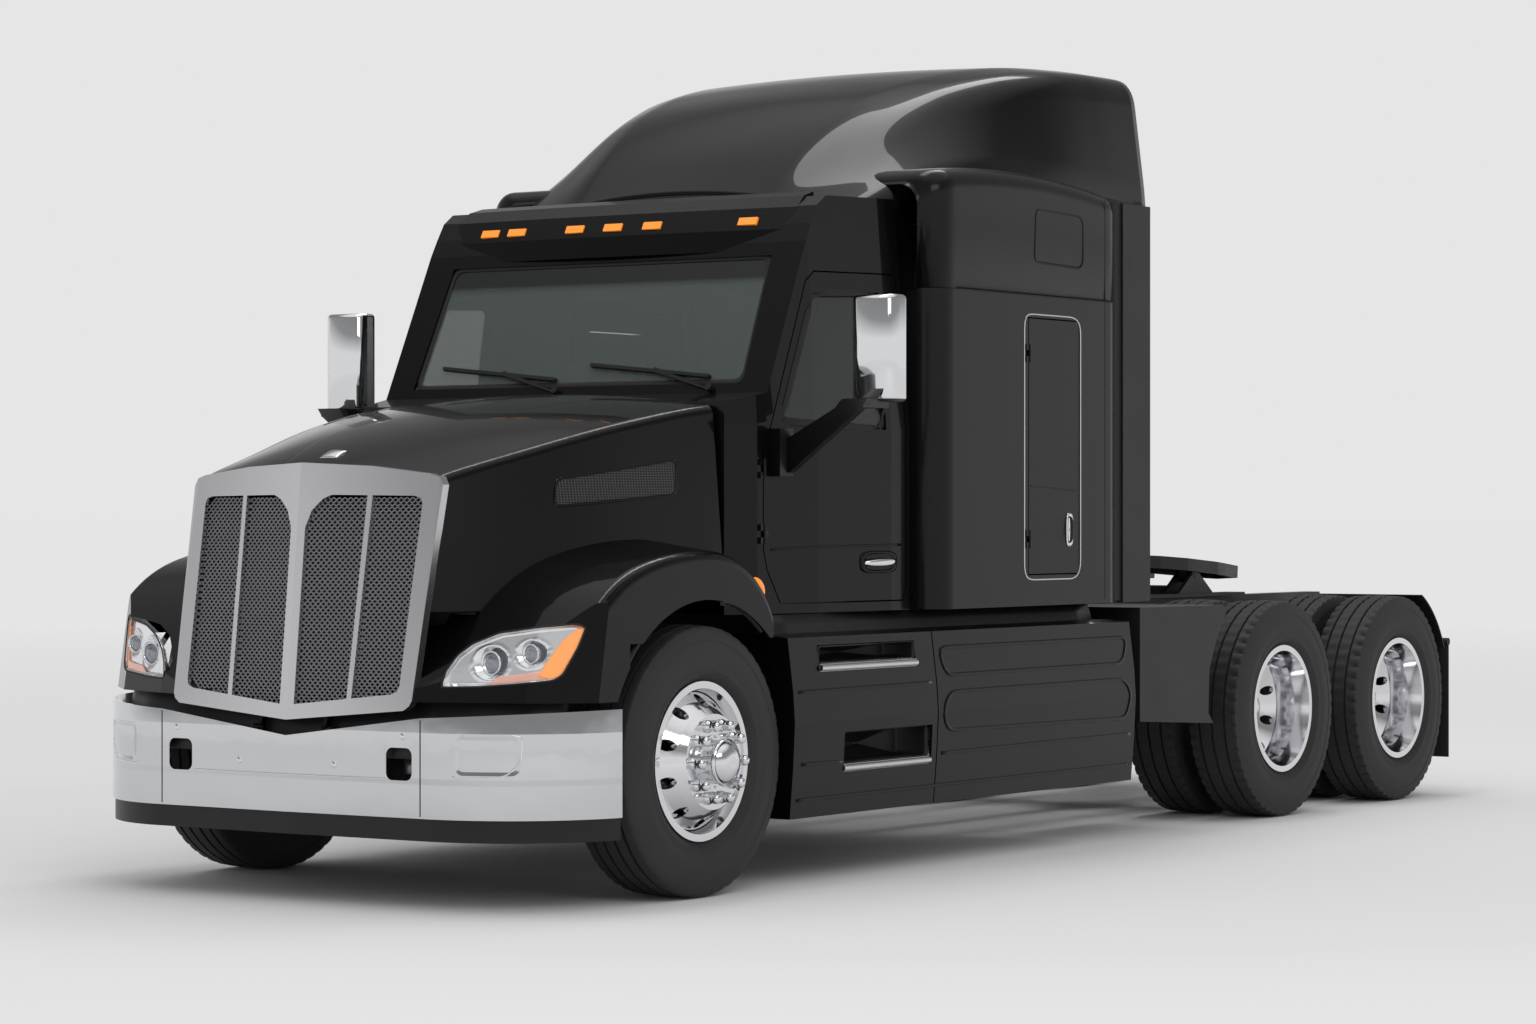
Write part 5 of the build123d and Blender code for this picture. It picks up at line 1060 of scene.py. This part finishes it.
for sideName, side in sides.items():
    node = ["chassis_fairings"]
    shapes = [sideSeam(node, outline, side, 0.016, 0.0050, radius=0.05) for outline in fairing["panels"]]
    shapes += [sideSeam(node, outline, side, 0.014, 0.0040) for outline in fairing["lines"]]
    makePiece(f"fairingPressings.{sideName}", shapes, "chassis", "body_black")
for sideName, side in sides.items():
    shapes = []
    for y0, y1, z, low, high in fairing["steps"]:
        shapes += [stepNosing(side, y0, y1, z), gripStuds(side, y0, y1, z + fairing["studRise"])]
    makePiece(f"stepGrips.{sideName}", shapes, "chassis", "satin_silver", ownFinishes["step_treads"])
for sideName, side in sides.items():
    wells = [stepWell(side, y0, y1, low, high) for y0, y1, z, low, high in fairing["steps"]]
    makeSheet(f"stepWells.{sideName}", wells, 0.002, "chassis", "black_plastic")
    # painted shade: a black sheet fills the gap between the fairings and the sleeper
    makeSheet(f"sillShadow.{sideName}", [sillShadeSheet(side)], 0.004, "chassis", "black_plastic")
print("fairing pressings and steps")

# mirror glass
mirrorLook = {"x": (1.290, 1.452), "z": (1.935, 2.300), "behind": 0.9915, "lip": 0.002, "corner": 0.03}


def mirrorFace(side):
    # a rounded plate: loops that grow from the middle, the last one turned forward into a lip
    (x0, x1), (z0, z1) = mirrorLook["x"], mirrorLook["z"]
    loop = roundedLoop([(x0, z0), (x1, z0), (x1, z1), (x0, z1)], mirrorLook["corner"])
    share = np.array([0.02, 0.5, 0.95, 1.0])[:, None, None]
    x, z = np.moveaxis(loop.mean(axis=0) + (loop - loop.mean(axis=0)) * share, -1, 0)
    y = back(mirrorLook["behind"]) - np.where(share[..., 0] == 1.0, mirrorLook["lip"], 0.0) + 0 * x
    return grid(np.stack([side * x, y, z], -1), closeColumns=True)


for sideName, side in sides.items():
    makeSheet(f"mirrorGlass.{sideName}", [mirrorFace(side)], 0.0015, f"door_{sideName}_body", "chrome")
print("mirrors")

# wheel arch lips
archLook = {"radius": 0.628, "height": 0.648, "centreZ": 0.500, "span": (16, 148), "x": 1.176, "lip": 0.012,
            "rear": 0.40, "foot": 0.79}


def archLip(side):
    # part of an ellipse over the wheel, kept between the fairing and the bumper
    angle = np.radians(np.linspace(*archLook["span"], 48))
    y = frontAxleY - archLook["radius"] * np.cos(angle)
    z = archLook["centreZ"] + archLook["height"] * np.sin(angle)
    path = np.column_stack([side * archLook["x"] + 0 * y, y, z])
    return tube(path[(y < back(archLook["rear"])) & (z > archLook["foot"])], archLook["lip"], 8)


for sideName, side in sides.items():
    makePiece(f"archLip.{sideName}", [archLip(side)], "hood_tilt_body", "black_plastic")
print("wheel arches")

# seats
seatLook = {
    "places": (0.450, -0.450),
    # behind the front axle, z, and half the width
    "base": ((1.130, 1.570), (1.362, 1.480), 0.248),
    "rest": ((1.452, 1.568), (1.484, 1.900), 0.238),
    "head": ((1.462, 1.566), (1.905, 2.115), 0.150),
    "pedestal": ((1.235, 1.495), (1.110, 1.360), 0.155),
}


def cushion(x, spanY, spanZ, halfWide, roundness=(0.30, 0.26), crown=0.06, rows=33, turns=64):
    # a rounded box from powers of sine and cosine, crowned in its middle and drawn in along two channels
    pole = math.pi / 2 - 0.02
    lat = np.linspace(-pole, pole, rows)[:, None]
    turn = (np.arange(turns) * (2 * math.pi / turns))[None, :]
    level = signedPower(np.cos(lat), roundness[0])
    px = level * signedPower(np.cos(turn), roundness[1])
    py = level * signedPower(np.sin(turn), roundness[1])
    pz = signedPower(np.sin(lat), roundness[0]) + 0 * turn
    swell = (1 - crown) + crown * np.cos(px * math.pi / 2) * np.cos(py * math.pi / 2)
    channel = 1 - 0.05 * np.exp(-((np.abs(px) - 0.62) / 0.035) ** 2)
    centre = np.array([x, back(sum(spanY) / 2), sum(spanZ) / 2])
    size = np.array([halfWide, (spanY[1] - spanY[0]) / 2, (spanZ[1] - spanZ[0]) / 2])
    if size[1] < size[2]:
        py = py * swell * channel
    else:
        pz = pz * swell * channel
    points = centre + np.stack([px, py, pz], -1) * size
    low, high = (row.mean(axis=1, keepdims=True) + 0 * row for row in (points[:1], points[-1:]))
    return grid(np.concatenate([low, points, high]), closeColumns=True)


for number, x in enumerate(seatLook["places"]):
    for part in ("base", "rest", "head"):
        pad = makePiece(f"seat.{part}.{number}", [cushion(x, *seatLook[part])], "chassis", "seat_fabric")
pedestals = [cushion(x, *seatLook["pedestal"], (0.12, 0.12), 0.0) for x in seatLook["places"]]
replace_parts(makePiece("seatPedestals", pedestals, "chassis", "black_plastic"), "seats")
print("seats")

# frame rivets
rivets = {
    "rows": (0.825, 0.985),
    "pitch": 0.085,
    "railX": 0.42,  # what lies further in isn't the rail
    "spans": [(3.36, 4.25), (5.20, 5.75)],
    "head": [(-0.001, 0.0105), (0.003, 0.0100), (0.006, 0.0070), (0.0075, 0.0002)],
}


def railRivets(side):
    # domes turned about a sideways axis, set out in two rows along the rail's web
    y = np.concatenate([np.arange(a, b, rivets["pitch"]) for a, b in rivets["spans"]])
    z, y = np.meshgrid(rivets["rows"], y, indexing="ij")
    where, lean = onFlank(["frame_rails"], side, y.ravel(), z.ravel(), out=0.9)
    where = where[np.abs(where[:, 0]) > rivets["railX"]]
    return copied(turnedSideways(rivets["head"], 10, (0, 0, 0), side), where)


for sideName, side in sides.items():
    makePiece(f"railRivets.{sideName}", [railRivets(side)], "chassis", "satin_silver")
print("rivets")

# seals behind the sleeper
sealLook = {
    "z": (1.070, 2.845),
    "plan": [(1.150, 3.120), (1.186, 3.150), (1.193, 3.222), (1.170, 3.222), (1.150, 3.215)],
}
for sideName, side in sides.items():
    x, y = np.array(sealLook["plan"]).T
    z = np.linspace(*sealLook["z"], 30)[:, None]
    sealPoints = np.stack([side * x + 0 * z, back(y) + 0 * z, z + 0 * x], -1)
    makePiece(f"sleeperSeal.{sideName}", [grid(sealPoints, closeColumns=True)], "chassis", "rubber")
print("seals")

# roof
roofLook = {
    "y": (1.400, 1.630, 1.950, 2.250, 2.550, 2.850, 3.220, 3.600),
    "crest": (2.822, 3.035, 3.240, 3.350, 3.422, 3.468, 3.488, 3.492),
    "ridgeX": (0.480, 0.550, 0.600, 0.640, 0.700, 0.780, 0.830, 0.850),
    "ridgeZ": (2.790, 2.985, 3.200, 3.322, 3.400, 3.448, 3.470, 3.476),
    "shoulderX": (0.660, 0.740, 0.780, 0.840, 0.920, 1.000, 1.030, 1.035),
    "shoulderZ": (2.745, 2.885, 3.125, 3.265, 3.352, 3.400, 3.425, 3.430),
    "footX": (0.900, 0.990, 1.060, 1.090, 1.100, 1.105, 1.105, 1.105),
    "footZ": (2.690, 2.800, 2.900, 2.925, 2.930, 2.925, 2.905, 2.880),
    "rounding": (0.110, 0.120, 0.090),
    # behind the front axle and z of the dome's lower edge
    "sill": ((1.40, 3.205, 3.215, 3.60), (2.745, 2.745, 2.862, 2.862)),
    "bulkhead": 3.19,
    "ends": (2.745, 2.860),  # how far down the front and the rear wall reach
    "wall": 0.014,
    "endWall": 0.006,
}
capLook = {
    "y": (1.662, 3.210), "half": 1.200, "corner": 0.110, "edge": 0.090, "foot": 2.4015,
    "frontY": (1.662, 1.668, 1.684, 1.710, 1.745), "frontZ": (2.838, 2.858, 2.880, 2.895, 2.904),
    "peakY": 2.36, "peakZ": 2.9345, "ahead": (0.0305, 0.615), "behind": (0.0625, 0.85),  # drop and length
    "wall": 0.010,
}


def eased(y, key):
    # a cubic through the listed stations whose slope at each is the mean of its two sides
    at, value = np.array(roofLook["y"]), np.array(roofLook[key])
    slope = np.gradient(value, at)
    cell = np.clip(np.searchsorted(at, y) - 1, 0, len(at) - 2)
    width = at[cell + 1] - at[cell]
    t = (y - at[cell]) / width
    a, b = value[cell], value[cell + 1]
    m, n = slope[cell] * width, slope[cell + 1] * width
    share = 3 * t**2 - 2 * t**3
    return a * (1 - share) + b * share + (t**3 - 2 * t**2 + t) * m + (t**3 - t**2) * n


def domeSheet(stations=70):
    # half a section: a parabola over the crest, then bends at ridge, shoulder and foot with straight runs
    y = roofLook["y"][0] + (roofLook["y"][-1] - roofLook["y"][0]) * np.linspace(0, 1, stations) ** 1.15
    crest = eased(y, "crest")
    ridge, shoulder, foot = [np.stack([eased(y, key + "X"), eased(y, key + "Z")], -1)
                             for key in ("ridge", "shoulder", "foot")]
    low = np.interp(y, *roofLook["sill"])
    base = np.stack([foot[:, 0], low - 0.2], -1)
    s = np.linspace(0, 0.84, 15)
    chain = [np.stack([s * ridge[:, :1], crest[:, None] - (crest - ridge[:, 1])[:, None] * s ** 2], -1)]
    before = chain[0][:, -1]
    for reach, corner, after in zip(roofLook["rounding"], (ridge, shoulder, foot), (shoulder, foot, base)):
        into = np.minimum(reach, 0.45 * np.linalg.norm(corner - before, axis=1))[:, None]
        out = np.minimum(reach, 0.45 * np.linalg.norm(after - corner, axis=1))[:, None]
        start, end = corner + unit(before - corner) * into, corner + unit(after - corner) * out
        chain.append(bent(start, corner, end, np.linspace(0, 1, 9)))
        before = corner
    half = np.concatenate([*chain, base[:, None]], axis=1)
    half[..., 1] = np.maximum(half[..., 1], low[:, None])
    full = np.concatenate([half[:, :0:-1] * (-1, 1), half], axis=1)
    return np.stack([full[..., 0], np.broadcast_to(back(y)[:, None], full.shape[:2]), full[..., 1]], -1)


def curtain(edge, low):
    # a flat end wall: every point of the edge and the same point let down to one level
    foot = edge.copy()
    foot[:, 2] = np.minimum(edge[:, 2], low)
    return grid(np.stack([edge, foot]))


def capSheet(stations=46):
    # a box with a rounded plan and rounded upper edges under a long arch of two parabolas
    (start, end), corner, edge = capLook["y"], capLook["corner"], capLook["edge"]
    y = start + (end - start) * (0.5 - 0.5 * np.cos(math.pi * np.linspace(0, 1, stations))) ** 0.9
    inside = np.minimum(np.minimum(y - start, end - y), corner)
    half = (capLook["half"] - corner + np.sqrt(np.maximum(corner**2 - (corner - inside) ** 2, 0)))[:, None]
    ahead, behind = [capLook["peakZ"] - drop * ((y - capLook["peakY"]) / length) ** 2
                     for drop, length in (capLook["ahead"], capLook["behind"])]
    arch = np.where(y < capLook["peakY"], ahead, behind)
    brow = np.interp(y, capLook["frontY"], capLook["frontZ"])
    top = np.where(y > capLook["frontY"][-1], arch, brow)[:, None]
    turn = np.linspace(0, math.pi / 2, 9)
    x = np.concatenate([half, half - edge + edge * np.cos(turn), 0 * half + 0.4], axis=1)
    z = np.concatenate([0 * top + capLook["foot"], top - edge + edge * np.sin(turn), top], axis=1)
    x = np.concatenate([x, -x[:, ::-1]], axis=1)
    z = np.concatenate([z, z[:, ::-1]], axis=1)
    return np.stack([x, np.broadcast_to(back(y)[:, None], x.shape), z], -1)


domePoints = domeSheet()
dome = makeSheet("roofDome", [grid(domePoints)], roofLook["wall"], "chassis", "body_black", offset=-1.0)
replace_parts(dome, "roof_fairing")
bulkhead = int(np.abs(domePoints[:, 0, 1] - back(roofLook["bulkhead"])).argmin())
inset = domePoints[bulkhead] * (0.992, 1, 1) - (0, 0, 0.010)
edges = (domePoints[0] + (0, 0.004, 0), inset)
ends = [curtain(edge, low) for edge, low in zip(edges, roofLook["ends"])]
makeSheet("roofBulkhead", ends, roofLook["endWall"], "chassis", "body_black")
capPoints = capSheet()
capShapes = [grid(capPoints), *(curtain(capPoints[end], capLook["foot"]) for end in (0, -1))]
capPaint = ownFinishes["sleeper_shell"]
makeSheet("sleeperCap", capShapes, capLook["wall"], "chassis", "body_black", capPaint, offset=1.0)
print("roof")

# camera, floor and light
view = {"place": (9.769, -12.127 + frontAxleY, 1.480), "turn": 34.37, "tilt": -0.045, "lens": 91.6}
studio = {
    # the floor's grey is painted darker near the vehicle than far off: painted shade against the lamps'
    # brighter pool close by
    "floorNearShaded": 0.60, "floorFar": 0.785, "floorSize": 900.0, "shadeFade": (5.0, 34.0),
    "skyLight": 1.0,
    # height and grey of the sky that is seen and mirrored: pale at eye level, then dark, bright overhead
    "sky": ((0.0, 0.79), (0.13, 0.79), (0.30, 0.30), (0.60, 0.22), (0.80, 0.8), (1.0, 1.0)),
    # place, target, size and power
    "keyLight": ((9, -9, 8), (0.8, -1.5, 1.2), (7, 3), 200),
    "topLight": ((0, 0.5, 9), (0, 0, 0), (1.6, 9), 260),
}


def placed(name, data):
    made = bpy.data.objects.new(name, data)
    scene.collection.objects.link(made)
    return made


def makeCamera():
    lens = bpy.data.cameras.new("camera")
    lens.lens = view["lens"]
    lens.sensor_width = 36
    lens.clip_end = 1200
    scene.camera = placed("camera", lens)
    scene.camera.location = view["place"]
    scene.camera.rotation_euler = (math.radians(90 + view["tilt"]), 0, math.radians(view["turn"]))


def makeFloor():
    half = studio["floorSize"] / 2
    corners = [(-half, -half, 0), (half, -half, 0), (half, half, 0), (-half, half, 0)]
    mesh = bpy.data.meshes.new("floor")
    mesh.from_pydata(corners, [], [(0, 1, 2, 3)])
    near, far = (studio["floorNearShaded"],) * 3, (studio["floorFar"],) * 3
    paint = Shader("studioFloor", far, 0.9, specular=0.0)
    x, y, z = paint.axes()
    # painted shade: the floor's colour darkens towards the vehicle, against the lamps' brighter pool there
    away = ((x * x + y * y) ** 0.5).ramped(*studio["shadeFade"])
    paint.put(colour=paint.blend(away ** 0.6, near, far), roughness=paint.noise(2.0) * 0.05 + 0.88)
    mesh.materials.append(paint.material)
    placed("floor", mesh)


def areaLight(name):
    place, target, size, power = studio[name]
    lamp = bpy.data.lights.new(name, "AREA")
    lamp.shape = "RECTANGLE"
    lamp.size, lamp.size_y = size
    lamp.energy = power
    light = placed(name, lamp)
    light.location = place
    x, y, z = np.array(target, float) - np.array(place, float)
    light.rotation_euler = (math.atan2(math.hypot(x, y), -z), 0, math.atan2(y, x) - math.pi / 2)


def makeWorld():
    # rays from the camera, mirrors and glass meet the sky's greys, all others an even white
    scene.world = bpy.data.worlds.new("studio")
    scene.world.use_nodes = True
    tree = scene.world.node_tree
    tree.nodes.clear()
    where = makeNode(tree, "TexCoord", output="Generated")
    height = makeNode(tree, "SeparateXYZ", {"Vector": where}, "Z")
    grey = makeNode(tree, "ValToRGB", {"Fac": height}, stops=studio["sky"])
    seen = makeNode(tree, "Background", {"Color": grey})
    lit = makeNode(tree, "Background", {"Color": (1, 1, 1, 1), "Strength": studio["skyLight"]})
    kinds = ("Is Camera Ray", "Is Glossy Ray", "Is Transmission Ray")
    straight, glossy, through = makeNode(tree, "LightPath", output=kinds)
    either = straight.atLeast(glossy).atLeast(through)
    both = makeNode(tree, "MixShader", {0: either, 1: lit, 2: seen})
    makeNode(tree, "OutputWorld", {"Surface": both}, ())


scene.view_settings.view_transform = "Standard"
makeCamera()
makeFloor()
makeWorld()
areaLight("keyLight")
areaLight("topLight")
print("camera, floor and light")
